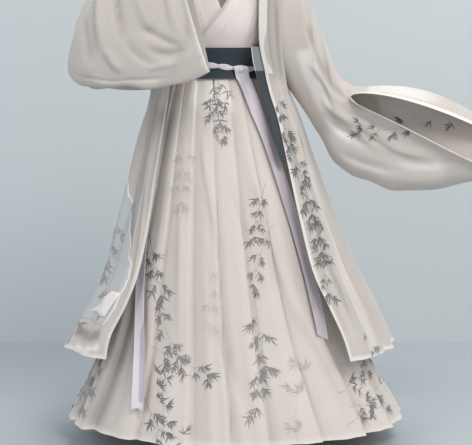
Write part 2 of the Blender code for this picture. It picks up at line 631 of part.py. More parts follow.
def make_knot():
    """A wrapped knot in front of the tie: a rounded lump with a waist where the turns cross."""
    half_width, half_depth, half_height = KNOT_SIZE
    middle = tie_height(KNOT_ANGLE)
    back = TIE_LIFT + TIE_THICKNESS + 2 * SEAM_GAP
    centre = waist_point(KNOT_ANGLE, middle, back + half_depth)
    outward = (centre - waist_point(KNOT_ANGLE, middle, back)).normalized()
    sideways = Vector((0, 0, 1)).cross(outward).normalized()
    rings, columns = 7, 14
    points, triangles = [], []
    for ring in range(1, rings):
        polar = math.pi * ring / rings
        for column in range(columns):
            turn = 2 * math.pi * column / columns
            reach = math.sin(polar) * (1.0 - KNOT_PINCH * math.cos(2 * turn) * math.sin(polar))
            points.append(centre + sideways * half_width * reach * math.cos(turn)
                          + outward * half_depth * reach * math.sin(turn)
                          + Vector((0, 0, half_height * math.cos(polar))))
    top = len(points)
    points.append(centre + Vector((0, 0, half_height)))
    points.append(centre - Vector((0, 0, half_height)))
    low = (rings - 2) * columns
    for column in range(columns):
        beside = (column + 1) % columns
        triangles.append((top, beside, column))
        triangles.append((top + 1, low + column, low + beside))
        for ring in range(rings - 2):
            a, b = ring * columns + column, ring * columns + beside
            c, d = b + columns, a + columns
            triangles.extend([(a, b, c), (a, c, d)])
    make_object("tie_knot", points, triangles, "tie")


def ribbon_point(angle, height):
    """Where a ribbon lies: on the sash down to its lower edge, then clear of the pleats."""
    on_skirt = skirt_point(angle, height, pleat_depth(height) + SKIRT_CLOTH + RIBBON_CLEARANCE)
    on_sash = waist_point(angle, height, sash_lift(height) + SASH_CLOTH + 2 * SEAM_GAP)
    return on_sash if height > SASH_HEIGHTS[0] - RIBBON_LEDGE else on_skirt


def make_ribbon(name, route):
    """Flat ribbon that hangs from the tie.  Its end is cut on a slant."""
    outer, inner = [], []
    for position in steps(0, len(route) - 1, 2 * (len(route) - 1)):
        height = blend(route, "z", position)
        angle = blend(route, "angle", position)
        centre = ribbon_point(angle, height)
        across = (ribbon_point(angle + 1, height) - centre).normalized()
        outward = across.cross(Vector((0, 0, 1))).normalized()
        line = [centre + across * RIBBON_WIDTH / 2 * share for share in (-1.0, 0.0, 1.0)]
        inner.append(line)
        outer.append([point + outward * RIBBON_CLOTH for point in line])
    slant = (0.0, 0.4, 1.0) if route[0].angle > 0 else (0.0, 0.4, 0.1)
    for grid in (outer, inner):
        grid[-1] = [point - Vector((0, 0, RIBBON_POINT * share))
                    for point, share in zip(grid[-1], slant)]
    make_wall(name, outer, inner, "tie")


def make_waist():
    ring_wall("skirt_waistband", WAISTBAND_HEIGHTS, waistband_lift, WAISTBAND_CLOTH, "skirt")
    ring_wall("sash", SASH_HEIGHTS, sash_lift, SASH_CLOTH, "sash")
    make_tie()
    make_knot()
    make_ribbon("ribbon_left", KNOT_RIBBON)
    make_ribbon("ribbon_right", HIP_RIBBON)


# ---------------------------------------------------------------- skirt
def make_skirt():
    heights = [row.z for row in reversed(SKIRT_ROWS)]
    angles = []
    for number in range(-PLEATS // 2, PLEATS // 2):
        start, end = pleat_edge(number), pleat_edge(number + 1)
        angles.extend(start + (end - start) * share for share in PLEAT_SHARES)
    outer, inner = [], []
    for z in heights:
        lifts = [pleat_depth(z) * pleat_height(angle) for angle in angles]
        outer.append([skirt_point(angle, z, lift + SKIRT_CLOTH) for angle, lift in zip(angles, lifts)])
        inner.append([skirt_point(angle, z, lift) for angle, lift in zip(angles, lifts)])
    make_wall("skirt", outer, inner, "skirt", closed=True)

    heights[0] = LINING_HEM_Z
    gaps = steps(LINING_GAP_HEM, LINING_GAP_TOP, len(heights) - 1)
    angles = [360.0 * column / LINING_COUNT for column in range(LINING_COUNT)]
    outer = [[skirt_point(angle, z, -gap) for angle in angles] for z, gap in zip(heights, gaps)]
    inner = [[skirt_point(angle, z, -gap - LINING_CLOTH) for angle in angles]
             for z, gap in zip(heights, gaps)]
    make_wall("skirt_lining", outer, inner, "lining", closed=True)


# ---------------------------------------------------------------- the open robe
ROBE_ROW_NUMBERS = ([0, 0.6, 1.2, 2, 2.8, 3.6, 4.4, 5.2, 6, 6.6]
                    + steps(ROBE_UNDERARM, ROBE_TIP, WIDE_COUNT // 2) + [12.7, 13.4, 13.7, 14])


def make_robe():
    make_back(("robe_back", "robe_band_back"), robe_surface, ROBE_ROW_NUMBERS, robe_edge, 21, ROBE_CLOTH,
              BAND_CLOTH, "robe")
    band_rows = [row for row in ROBE_ROW_NUMBERS if row > BAND_END_ROW]
    for label, side in (("left", 1), ("right", -1)):
        make_front(("robe_front_" + label, "robe_band_" + label), robe_surface, ROBE_ROW_NUMBERS,
                   lambda row, column=label + "_edge": blend(ROBE_ROWS, column, row), robe_edge, side, 6,
                   (flat, ROBE_CLOTH, ROBE_BAND_WIDTH, BAND_CLOTH, band_rows), "robe")


def main():
    for obj in list(bpy.data.objects):
        bpy.data.objects.remove(obj, do_unlink=True)
    make_top()
    make_sleeves()
    make_waist()
    make_skirt()
    make_robe()


main()
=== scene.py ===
import json
import math
import random
from collections import namedtuple
import bpy
import numpy as np
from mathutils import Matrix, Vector
from mathutils.bvhtree import BVHTree

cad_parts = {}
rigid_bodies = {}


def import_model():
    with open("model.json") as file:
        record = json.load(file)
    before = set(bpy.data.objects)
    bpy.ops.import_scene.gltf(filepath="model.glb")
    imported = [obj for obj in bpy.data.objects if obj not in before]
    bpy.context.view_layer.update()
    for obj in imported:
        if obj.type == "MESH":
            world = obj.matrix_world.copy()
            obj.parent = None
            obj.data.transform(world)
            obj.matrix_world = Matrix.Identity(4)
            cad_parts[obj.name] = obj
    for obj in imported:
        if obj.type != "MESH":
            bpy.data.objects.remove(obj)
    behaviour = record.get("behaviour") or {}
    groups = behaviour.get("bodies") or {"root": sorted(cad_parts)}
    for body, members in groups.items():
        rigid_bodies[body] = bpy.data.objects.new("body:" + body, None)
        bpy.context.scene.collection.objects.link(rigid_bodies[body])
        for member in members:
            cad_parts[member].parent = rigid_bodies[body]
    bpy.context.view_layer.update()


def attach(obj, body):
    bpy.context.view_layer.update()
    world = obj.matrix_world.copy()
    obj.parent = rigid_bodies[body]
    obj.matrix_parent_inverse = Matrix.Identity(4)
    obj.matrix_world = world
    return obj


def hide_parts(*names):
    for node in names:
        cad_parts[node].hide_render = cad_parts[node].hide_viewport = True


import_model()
print("frame loaded")

# ---- camera, floor and light
studio = {
    "eye": (0.049, -4.2, -0.23), "aim": (0.049, 0.0, -0.78), "lampAim": (0.05, 0.0, -0.75),
    "halfWidth": 0.668,          # half of what the view spans at the garment
    "aimDistance": 4.24, "floorHeight": -1.402, "wallAt": 1.30, "reach": 6.0, "cloudSize": 0.7,
    "floorColour": (0.420, 0.460, 0.484), "wallColour": (0.525, 0.565, 0.580),
    "skyColour": (0.93, 0.96, 1.0), "skyStrength": 0.66,
    "key": ((1.5, -3.5, 3.0), 1.9, 114, (1.0, 0.97, 0.94)),    # place, size, watts, colour
    "fill": ((-3.2, -2.8, 1.2), 3.2, 52, (0.96, 0.98, 1.0)),
    "side": ((3.5, -1.9, 1.3), 2.6, 48, (1.0, 0.985, 0.96)),
    "rim": ((1.2, 0.9, 2.4), 1.6, 28, (1.0, 1.0, 1.0)),
}


def addObject(name, data):
    made = bpy.data.objects.new(name, data)
    bpy.context.scene.collection.objects.link(made)
    return made


def aimAt(obj, target):
    obj.rotation_euler = (Vector(target) - obj.location).to_track_quat("-Z", "Y").to_euler()


def makeCamera(look):
    data = bpy.data.cameras.new("camera")
    data.lens_unit = "FOV"
    data.angle = 2 * math.atan(look["halfWidth"] / look["aimDistance"])
    camera = addObject("camera", data)
    camera.location = look["eye"]
    aimAt(camera, look["aim"])
    bpy.context.scene.camera = camera


def makeLight(name, look):
    data = bpy.data.lights.new(name, "AREA")
    data.shape = "DISK"
    place, data.size, data.energy, data.color = look[name]
    light = addObject(name, data)
    light.location = place
    aimAt(light, look["lampAim"])


def makeSky(look):
    world = bpy.data.worlds.new("studio")
    world.use_nodes = True
    sky = world.node_tree.nodes["Background"]
    sky.inputs["Color"].default_value = (*look["skyColour"], 1.0)
    sky.inputs["Strength"].default_value = look["skyStrength"]
    bpy.context.scene.world = world
    bpy.context.scene.view_settings.view_transform = "Standard"


makeCamera(studio)
makeSky(studio)
for lamp in ("key", "fill", "side", "rim"):
    makeLight(lamp, studio)


# ---- shader maths: an expression on wires adds its own Math nodes
class Wire:
    def __init__(self, shader, socket):
        self.shader = shader
        self.socket = socket

    def maths(self, operation, *values):
        return self.shader.node("ShaderNodeMath", {"operation": operation}, dict(enumerate(values)))

    def __add__(self, other):
        return self.maths("ADD", self, other)

    def __radd__(self, other):
        return self.maths("ADD", other, self)

    def __sub__(self, other):
        return self.maths("SUBTRACT", self, other)

    def __rsub__(self, other):
        return self.maths("SUBTRACT", other, self)

    def __mul__(self, other):
        return self.maths("MULTIPLY", self, other)

    def __rmul__(self, other):
        return self.maths("MULTIPLY", other, self)

    def clamped(self):    # its last Math node stays between 0 and 1
        self.socket.node.use_clamp = True
        return self


class Shader:
    def __init__(self, name):
        self.material = bpy.data.materials.new(name)
        self.material.use_nodes = True
        self.tree = self.material.node_tree
        self.surface = self.tree.nodes["Principled BSDF"]

    def node(self, kind, settings, sockets, output=0):
        made = self.tree.nodes.new(kind)
        for key, value in settings.items():
            setattr(made, key, value)
        for key, value in sockets.items():
            self.feed(made.inputs[key], value)
        return Wire(self, made.outputs[output])

    def feed(self, socket, value):
        if isinstance(value, Wire):
            self.tree.links.new(value.socket, socket)
        else:
            socket.default_value = value

    def blendColours(self, share, first, second, kind="MIX"):
        settings = {"data_type": "RGBA", "blend_type": kind}
        first, second = (each if isinstance(each, Wire) else (*each, 1.0) for each in (first, second))
        return self.node("ShaderNodeMix", settings, {0: share, 6: first, 7: second}, 2)

    def attribute(self, name):
        return self.node("ShaderNodeAttribute", {"attribute_name": name}, {}, 2)

    def noise(self, scale, detail, spot=None):    # over the piece's own space, unless a spot is given
        spot = spot or self.node("ShaderNodeTexCoord", {}, {}, 3)
        return self.node("ShaderNodeTexNoise", {}, {"Vector": spot, "Scale": scale, "Detail": detail})

    def set(self, **values):
        for name, value in values.items():
            self.feed(self.surface.inputs[name.replace("_", " ")], value)


# ---- cloth finishes: weave, slubs, soft blotches, sheen, hems, painted shade and painted light
# hem is the colour that hem bands and painted light both mix towards
Finish = namedtuple("Finish", "light dark hem rough sheen alpha thread relief slub")
finishes = {
    "top": Finish((0.74, 0.671, 0.638), (0.65, 0.582, 0.55), (0.83, 0.78, 0.75),
                  0.78, 0.25, 1, 0.0011, 0.0001, 0.35),
    "skirt": Finish((0.712, 0.643, 0.597), (0.606, 0.54, 0.482), (0.77, 0.72, 0.67),
                    0.7, 0.3, 0.93, 0.001, 0.00008, 0.3),
    "lining": Finish((0.69, 0.615, 0.52), (0.6, 0.53, 0.44), (0.66, 0.6, 0.52),
                     0.8, 0.1, 1, 0.0011, 0.00008, 0.2),
    "sash": Finish((0.022, 0.036, 0.047), (0.012, 0.021, 0.029), (0.04, 0.055, 0.07),
                   0.62, 0.2, 1, 0.0013, 0.00016, 0.5),
    "mist": Finish((0.56, 0.57, 0.58), (0.43, 0.45, 0.465), (0.88, 0.87, 0.86),
                   0.62, 0.4, 0.93, 0.001, 0.00008, 0.35),
    "facing": Finish((0.25, 0.268, 0.268), (0.18, 0.196, 0.202), (0.76, 0.73, 0.7),
                     0.6, 0.35, 0.9, 0.001, 0.00008, 0.3),
    "tie": Finish((0.74, 0.675, 0.715), (0.6, 0.545, 0.59), (0.78, 0.72, 0.76),
                  0.42, 0.35, 1, 0.0008, 0.00006, 0.25),
    "robe": Finish((0.68, 0.61, 0.56), (0.535, 0.485, 0.44), (0.82, 0.78, 0.74),
                   0.62, 0.45, 0.82, 0.001, 0.00008, 0.3),
}
clothLook = {"shadeColour": (0.50, 0.52, 0.54), "slubScale": (420.0, 14.0, 1.0), "blotchScale": 7.0,
             "blotch": 0.7, "weave": 0.12, "roughSpread": 0.14, "sheenRough": 0.45, "bump": 0.8}


def clothFinish(name, kind, look=clothLook):
    cloth = Shader(name)
    place = cloth.node("ShaderNodeUVMap", {"uv_map": "cloth"}, {})
    phases = [cloth.node("ShaderNodeSeparateXYZ", {}, {0: place}, axis) * (2 * math.pi / kind.thread)
              for axis in (0, 1)]
    warp, weft = (phase.maths("SINE", phase) for phase in phases)
    weave = warp * weft * 0.5 + 0.5
    stretch = cloth.node("ShaderNodeMapping", {}, {0: place, "Scale": look["slubScale"]})
    slub = cloth.noise(1.0, 2.0, stretch)
    blotch = cloth.noise(look["blotchScale"], 3.0)
    # the hem attribute holds hem bands and painted light
    hem = cloth.attribute("hem")
    tone = (blotch * look["blotch"] + slub * kind.slub + weave * look["weave"] - look["weave"]).clamped()
    colour = cloth.blendColours(tone, kind.dark, kind.light)
    # painted shade: the shade attribute darkens the colour towards shadeColour
    colour = cloth.blendColours(cloth.attribute("shade"), colour, look["shadeColour"], "MULTIPLY")
    height = weave * 0.6 + slub * 0.9
    bumps = {"Height": height, "Distance": kind.relief, "Strength": look["bump"]}
    cloth.set(Base_Color=cloth.blendColours(hem, colour, kind.hem), Sheen_Weight=kind.sheen,
              Roughness=kind.rough + (slub - 0.5) * look["roughSpread"], Sheen_Roughness=look["sheenRough"],
              Normal=cloth.node("ShaderNodeBump", {}, bumps))
    if kind.alpha < 1.0:
        cloth.set(Alpha=(kind.alpha + (weave - 0.5) * 0.05 + hem * (1.0 - kind.alpha)).clamped())
    return cloth.material


clothOf = {name: clothFinish(name + "Cloth", kind) for name, kind in finishes.items()}
print("finishes made")


# ---- measures shared with the solids
TorsoRow = namedtuple("TorsoRow", "side centre halfWidth front back frontDrop backDrop leftEdge rightEdge")
SkirtRow = namedtuple("SkirtRow", "z centre halfWidth front back")
SleeveRow = namedtuple("SleeveRow", "armEnd seamEnd side bow fullness curl", defaults=(0.0,))
ArmRow = namedtuple("ArmRow", "centre radius along")
Fold = namedtuple("Fold", "angle width depth")
RibbonRow = namedtuple("RibbonRow", "z angle")
SmallFold = namedtuple("SmallFold", "angle width depth low high drift")
Crease = namedtuple("Crease", "path width depth")
Pleat = namedtuple("Pleat", "top hem depth lean")    # where a pleat starts, in degrees, and its fullness
Spray = namedtuple("Spray", "facing across height size turn kind tone seed")


def makeRows(kind, rows):
    return [kind(*row) for row in rows]


def makeCreases(rows):    # each row is the stops of a path, then its width and depth
    return [Crease(row[:-2], *row[-2:]) for row in rows]


seamGap = 0.0003
sleeveGap = 0.0005
layerGap = 0.0016
solidWall = {"top": 0.0012, "collar": 0.0012, "skirt": 0.0011, "waistband": 0.0020, "sash": 0.0022,
             "ribbon": 0.0012, "robe": 0.0010, "band": 0.0012}
shellWall = {"top": 0.0009, "collar": 0.0007, "neckBand": 0.0010, "skirt": 0.0008, "waistband": 0.0018,
             "sash": 0.0019, "ribbon": 0.0008, "fold": 0.0007, "robe": 0.0007, "band": 0.0009, "hem": 0.0005}

topRows = makeRows(TorsoRow, [
    (-0.372, 0.001, 0.118, 0.0905, 0.0865, 0, 0, -70, -38),
    (-0.33, 0, 0.119, 0.092, 0.086, 0, 0, -52, -30),
    (-0.287, 0, 0.131, 0.103, 0.0885, 0, 0, -32, -12),
    (-0.235, 0, 0.15, 0.117, 0.095, 0, 0, -12, 6),
    (-0.19, 0, 0.16, 0.113, 0.099, 0, 0, 2, 14),
    (-0.14, 0, 0.168, 0.1, 0.098, 0, 0, 12, 20),
    (-0.09, 0, 0.177, 0.086, 0.094, 0.002, 0, 18, 22),
    (-0.047, 0, 0.183, 0.072, 0.086, 0.014, 0.004, 23, 25),
    (-0.024, 0, 0.125, 0.06, 0.072, 0.03, 0.006, 35, 37),
    (-0.001, 0, 0.068, 0.048, 0.06, 0.05, 0.006, 62, 62),
])
robeRows = makeRows(TorsoRow, [
    (-1.122, 0.041, 0.44, 0.35, 0.364, 0.01, 0.02, 46, 51),
    (-1.058, 0.039, 0.414, 0.326, 0.341, 0.006, 0.012, 46, 52),
    (-0.975, 0.037, 0.375, 0.296, 0.311, 0.003, 0.006, 44, 49),
    (-0.88, 0.032, 0.332, 0.264, 0.28, 0, 0, 42, 47),
    (-0.73, 0.021, 0.282, 0.226, 0.24, 0, 0, 44, 46),
    (-0.585, 0.013, 0.24, 0.192, 0.205, 0, 0, 46, 47),
    (-0.48, 0.01, 0.212, 0.168, 0.178, 0, 0, 46, 47),
    (-0.405, 0.004, 0.191, 0.152, 0.158, 0, 0, 45, 46),
    (-0.33, 0, 0.188, 0.148, 0.148, 0, 0, 41, 43),
    (-0.24, 0, 0.19, 0.142, 0.138, 0, 0, 39, 41),
    (-0.15, 0, 0.196, 0.124, 0.128, 0, 0, 38, 39),
    (-0.09, 0, 0.199, 0.106, 0.118, 0.003, 0, 38, 39),
    (-0.0496, 0, 0.196, 0.09, 0.104, 0.014, 0.004, 42, 42),
    (-0.0276, 0, 0.14, 0.078, 0.09, 0.026, 0.006, 54, 54),
    (-0.0036, 0, 0.088, 0.064, 0.076, 0.04, 0.004, 71, 71),
])
topUnderarm, topTip = 4, 7       # rows where the top's side seam ends and where its shoulder tip lies
robeUnderarm, robeTip = 7, 12
armholeBite = 28                 # degrees that an armhole takes out of a front, and of a back

robeFolds = makeRows(Fold, [
    (-62, 6.5, 0.016), (-78, 6, 0.02), (-97, 7.5, 0.024), (-116, 7, 0.03), (-137, 8.5, 0.026),
    (-158, 8, 0.032), (-181, 9, 0.028), (-203, 8, 0.034), (-225, 8.5, 0.026), (-246, 7.5, 0.03),
    (-266, 7, 0.022), (-284, 6.5, 0.022), (-302, 6, 0.016),
])
skirtRows = makeRows(SkirtRow, [
    (-0.3523, 0.001, 0.1225, 0.0955, 0.0915), (-0.375, 0.001, 0.1245, 0.0975, 0.094),
    (-0.43, 0.003, 0.143, 0.114, 0.112), (-0.56, 0.009, 0.179, 0.142, 0.144),
    (-0.74, 0.017, 0.2265, 0.1775, 0.185), (-0.92, 0.024, 0.279, 0.217, 0.2285),
    (-1.08, 0.033, 0.333, 0.2575, 0.273), (-1.22, 0.043, 0.399, 0.307, 0.324),
    (-1.33, 0.048, 0.458, 0.347, 0.368),
])
rightSleeve = makeRows(SleeveRow, [
    ((-0.24, -0.005, -0.07), (-0.238, -0.003, -0.408), (0.005, -0.062, 0), 0, 0.32),
    ((-0.29, -0.034, -0.105), (-0.31, -0.03, -0.402), (0.018, -0.053, 0), 0, 0.25),
    ((-0.314, -0.08, -0.128), (-0.368, -0.076, -0.388), (0.038, -0.026, 0), 0, 0.04),
    ((-0.315, -0.132, -0.13), (-0.385, -0.142, -0.378), (0.037, 0.006, 0), 0, -0.16),
    ((-0.288, -0.182, -0.112), (-0.335, -0.21, -0.386), (0.032, 0.039, 0), 0, 0.06),
    ((-0.234, -0.214, -0.074), (-0.246, -0.248, -0.392), (0.018, 0.049, 0), 0, 0.25),
    ((-0.174, -0.234, -0.024), (-0.142, -0.266, -0.386), (0.012, 0.048, 0), 0, 0.32),
    ((-0.118, -0.246, 0.014), (-0.02, -0.262, -0.352), (0.008, 0.044, 0), 0, 0.32),
])
leftSleeve = makeRows(SleeveRow, [
    ((0.23, 0.005, -0.085), (0.243, 0, -0.468), (0, -0.064, 0), 0, 0.32),
    ((0.254, 0.012, -0.165), (0.29, 0, -0.546), (0, -0.066, 0), 0, 0.28),
    ((0.286, 0.014, -0.242), (0.345, -0.006, -0.626), (0.003, -0.068, -0.002), 0, 0.2),
    ((0.312, 0.006, -0.312), (0.425, -0.014, -0.666), (0.006, -0.07, -0.012), 0.004, 0.05),
    ((0.33, -0.01, -0.364), (0.53, -0.026, -0.68), (0.006, -0.07, -0.028), 0.016, -0.15),
    ((0.344, -0.03, -0.4), (0.675, -0.036, -0.66), (0.002, -0.07, -0.048), 0.028, -0.32),
    ((0.356, -0.054, -0.42), (0.806, -0.046, -0.604), (-0.004, -0.068, -0.066), 0.036, -0.42),
    ((0.362, -0.074, -0.423), (0.814, -0.062, -0.598), (-0.006, -0.066, -0.066), 0.034, -0.42, 0.66),
])
rightArm = makeRows(ArmRow, [
    ((-0.222, -0.002, -0.16), 0.042, (-0.86, -0.22, -0.46)),
    ((-0.262, -0.016, -0.184), 0.04, (-0.85, -0.38, -0.36)),
    ((-0.303, -0.043, -0.202), 0.0385, (-0.72, -0.66, -0.18)),
    ((-0.324, -0.067, -0.207), 0.0375, (-0.5, -0.86, -0.08)),
])
leftArm = makeRows(ArmRow, [
    ((0.2, 0.006, -0.185), 0.04, (0.35, 0.05, -0.94)),
    ((0.215, 0.01, -0.225), 0.0395, (0.38, 0.05, -0.92)),
    ((0.232, 0.013, -0.265), 0.0395, (0.42, 0.04, -0.9)),
    ((0.243, 0.014, -0.288), 0.0395, (0.44, 0.02, -0.9)),
])
knotRibbon = makeRows(RibbonRow, [    # from the knot, over the wearer's left leg
    (-0.335, 26.5), (-0.3562, 29), (-0.375, 31), (-0.395, 33.5), (-0.455, 38), (-0.55, 44), (-0.73, 49),
    (-0.875, 49.5), (-0.99, 47.5), (-1.058, 46),
])
hipRibbon = makeRows(RibbonRow, [    # from the tie at the wearer's right hip
    (-0.343, -68), (-0.375, -69), (-0.395, -70), (-0.48, -70), (-0.64, -67), (-0.8, -58), (-0.99, -47.4),
    (-1.13, -40.2), (-1.245, -35.8),
])


# ---- surfaces: a line of points for each row number, at a list of angles
def blend(rows, column, position):
    last = len(rows) - 1
    index = min(max(int(position), 0), last - 1)
    t = position - index
    values = [np.array(getattr(rows[min(max(index + k, 0), last)], column), float) for k in (-1, 0, 1, 2)]
    before, start, end, after = values
    if t < 0 or t > 1:
        return start + (end - start) * t
    slopeStart = (end - before) * 0.5
    slopeEnd = (after - start) * 0.5
    return (start * (2 * t**3 - 3 * t**2 + 1) + slopeStart * (t**3 - 2 * t**2 + t)
            + end * (3 * t**2 - 2 * t**3) + slopeEnd * (t**3 - t**2))


def rowAtHeight(rows, column, height):
    low, high = 0.0, float(len(rows) - 1)
    rising = getattr(rows[-1], column) > getattr(rows[0], column)
    for _ in range(30):
        middle = (low + high) / 2
        if (blend(rows, column, middle) < height) == rising:
            low = middle
        else:
            high = middle
    return (low + high) / 2


def ramp(value, start, end):    # 0 at start, 1 at end, smooth between
    t = np.clip((value - start) / (end - start), 0.0, 1.0)
    return t * t * (3 - 2 * t)


def bump(angles, centre, width):
    away = (np.asarray(angles, float) - centre + 180.0) % 360.0 - 180.0
    return np.exp(-(away / width) ** 2)


def fullTurn(count, whole=360.0):
    return np.arange(count) * whole / count


def ringLine(angles, centre, halfWidth, front, back, height):
    turn = np.radians(angles)
    depth = np.where(np.cos(turn) > 0, front, back)
    height = np.broadcast_to(height, turn.shape)
    return np.stack([centre + halfWidth * np.sin(turn), -depth * np.cos(turn), height], axis=1)


def torsoLine(rows, angles, row, fold=0.0):
    turn = np.radians(angles)
    drop = np.where(np.cos(turn) > 0, blend(rows, "frontDrop", row), blend(rows, "backDrop", row))
    height = blend(rows, "side", row) - drop * np.cos(turn) ** 2
    widths = [blend(rows, column, row) + fold for column in ("halfWidth", "front", "back")]
    return ringLine(angles, blend(rows, "centre", row), *widths, height)


def armholeEdge(underarm, tip, row):
    along = (row - underarm) / (tip - underarm)
    return 90.0 - (armholeBite * math.sin(math.pi * along) ** 0.8 if 0.0 < along < 1.0 else 0.0)


def topEdge(row):
    return armholeEdge(topUnderarm, topTip, row)


def robeEdge(row):
    return armholeEdge(robeUnderarm, robeTip, row)


def topLine(angles, row):
    return torsoLine(topRows, np.asarray(angles, float), row)


# the robe's own small folds, between the main ones: they start and end at row numbers
smallFolds = makeRows(SmallFold, [
    (52, 2.6, 0.006, -1, 5.5, 1), (58, 3, -0.006, -1, 6.5, 1.4), (66, 3.4, 0.012, -1, 7.5, -0.6),
    (71.5, 2.4, -0.012, -1, 6.8, -0.9), (83, 2.2, -0.006, -1, 4, 0.4), (97, 2.4, 0.007, 0.5, 7, -0.5),
    (109, 2.8, -0.008, -1, 6, 0.6), (127, 2.6, 0.008, -1, 5, 0.7), (146, 3.2, -0.01, -1, 7.2, -0.4),
    (152, 2.2, 0.006, 1, 7.5, 0.8), (170, 3, -0.008, -1, 5.8, 0.3), (186, 2.6, 0.009, -1, 7.6, -0.7),
    (197, 2.4, -0.007, -1, 4.6, 0.5), (214, 3, 0.01, 0, 7, 0.9), (231, 2.6, -0.009, -1, 6.4, -0.5),
    (252, 3.2, 0.008, -1, 5.2, 0.4), (268, 2.4, -0.007, -1, 6.6, -0.6), (286, 2.6, -0.008, -1, 6, 0.8),
    (-80, 2.2, 0.006, -1, 3.5, 0.5), (-66, 2.6, -0.007, -1, 6.2, -0.9), (-57, 2.2, 0.006, -1, 5, 0.6),
])
tailFlick = {"angle": -74, "width": 15, "reach": 0.022, "rows": 1.6}


def robeLine(angles, row):
    angles = np.asarray(angles, float)
    fade = max(0.0, 1.0 - row / (robeUnderarm + 1.5)) ** 1.3
    fold = sum(each.depth * bump(angles, each.angle, each.width) for each in robeFolds) * fade
    for each in smallFolds:
        life = float(ramp(row, each.low, each.low + 1.5) * (1 - ramp(row, each.high - 2.5, each.high)))
        if life > 0:
            fold = fold + each.depth * life * bump(angles, each.angle + each.drift * row, each.width)
    flick = tailFlick["reach"] * float(1 - ramp(row, 0, tailFlick["rows"]))
    fold = fold + flick * bump(angles, tailFlick["angle"], tailFlick["width"])
    return torsoLine(robeRows, angles, row, fold)


# ---- grids of points and the thin shells made from them
def gridNormals(grid, closed=False):
    if closed:
        across = np.roll(grid, -1, axis=1) - np.roll(grid, 1, axis=1)
    else:
        across = np.gradient(grid, axis=1)
    normals = np.cross(across, np.gradient(grid, axis=0))
    return normals / np.maximum(np.linalg.norm(normals, axis=2, keepdims=True), 1e-12)


def surfaceGrid(line, anglesOfRow, rowNumbers, lift=0.0):    # lift is a number or lift(angles, row)
    grid = np.array([line(anglesOfRow(row), row) for row in rowNumbers])
    rises = [lift(anglesOfRow(row), row) if callable(lift) else lift for row in rowNumbers]
    rises = np.array([np.broadcast_to(rise, grid.shape[1]) for rise in rises])
    return grid + gridNormals(grid) * rises[:, :, None]


def creaseLines(line, creases, count=14):    # each crease becomes points along a smooth path
    lines = []
    for crease in creases:
        path = [namedtuple("Stop", "spot")(spot) for spot in crease.path]
        spots = [blend(path, "spot", position) for position in np.linspace(0, len(path) - 1, count)]
        points = np.array([line([angle], row)[0] for angle, row in spots])
        lines.append((points, crease.width, crease.depth))
    return lines


def lineField(spots, normals, points):    # signed distance from a path, and how far along it
    best = np.full(len(spots), 9.0)
    share = np.zeros(len(spots))
    side = np.zeros(len(spots))
    for number, (start, end) in enumerate(zip(points[:-1], points[1:])):
        step = end - start
        t = np.clip((spots - start) @ step / max(step @ step, 1e-12), 0, 1)
        away = spots - start - t[:, None] * step
        gap = np.linalg.norm(away, axis=1)
        closer = gap < best
        best = np.where(closer, gap, best)
        share = np.where(closer, (number + t) / (len(points) - 1), share)
        side = np.where(closer, np.sign(np.einsum("ij,ij->i", np.cross(step, normals), away)), side)
    return best * side, share


def nearPath(flat, points, reach):
    low, high = points.min(axis=0) - reach, points.max(axis=0) + reach
    return np.flatnonzero(np.all((flat > low) & (flat < high), axis=1))


def pressCreases(grid, lines, closed=False, sign=1.0):    # a fold is soft on one side and crisp on the other; dark is its painted shade, in a valley and beside a ridge's crisp side
    flat = grid.reshape(-1, 3)
    normals = sign * gridNormals(grid, closed).reshape(-1, 3)
    push = np.zeros(len(flat))
    dark = np.zeros(len(flat))
    for points, width, depth in lines:
        near = nearPath(flat, points, 2.6 * width)
        if not len(near):
            continue
        away, share = lineField(flat[near], normals[near], points)
        fade = ramp(share, 0.0, 0.3) * (1 - ramp(share, 0.6, 1.0))
        spread = np.where(away < 0, width * 1.25, width * 0.5)
        push[near] += depth * fade * np.exp(-(away / spread) ** 2)
        valley = (away - width * (0.55 if depth > 0 else 0.0)) / (width * 0.6)
        dark[near] += min(1.0, abs(depth) / 0.007) * fade * np.exp(-valley**2)
    grid = grid + normals.reshape(grid.shape) * push.reshape(grid.shape[:2])[:, :, None]
    return grid, dark.reshape(grid.shape[:2]).clip(0, 1)


def paintLightAndShade(grid, lines, closed=False):    # soft strokes of painted light (negative) and painted shade (positive), each with its own strength
    flat = grid.reshape(-1, 3)
    normals = gridNormals(grid, closed).reshape(-1, 3)
    field = np.zeros(len(flat))
    for points, width, depth in lines:
        near = nearPath(flat, points, 3.0 * width)
        away, share = lineField(flat[near], normals[near], points)
        fade = depth * ramp(share, 0.0, 0.12) * (1 - ramp(share, 0.88, 1.0))
        field[near] += fade * np.exp(-(away / width) ** 4)
    return field.reshape(grid.shape[:2])


def arcLengths(grid, closed):
    line = np.concatenate([grid, grid[:, :1]], axis=1) if closed else grid
    across = np.cumsum(np.linalg.norm(np.diff(line, axis=1), axis=2), axis=1)
    across = np.concatenate([np.zeros((len(grid), 1)), across], axis=1)
    across -= across[:, -1:] / 2
    along = np.linalg.norm(np.diff(line, axis=0), axis=2).mean(axis=1)
    along = np.concatenate([[0.0], np.cumsum(along)])
    return across, np.broadcast_to(along[:, None], across.shape)


def edgeDistance(grid, edges):    # metres from the named edges
    across, along = arcLengths(grid, False)
    gaps = {"start": across - across[:, :1], "end": across[:, -1:] - across,
            "low": along - along[:1], "high": along[-1:] - along}
    return np.min([gaps[edge] for edge in edges], axis=0)


def edgeBand(grid, edges, full, none):    # 1 within full of the named edges, and 0 beyond none
    return 1 - ramp(edgeDistance(grid, edges), full, none)


def wear(piece, cloth, *nodes):    # rides with the garment, and stands for its solids
    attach(piece, "root")
    if nodes:
        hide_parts(*nodes)
    return piece


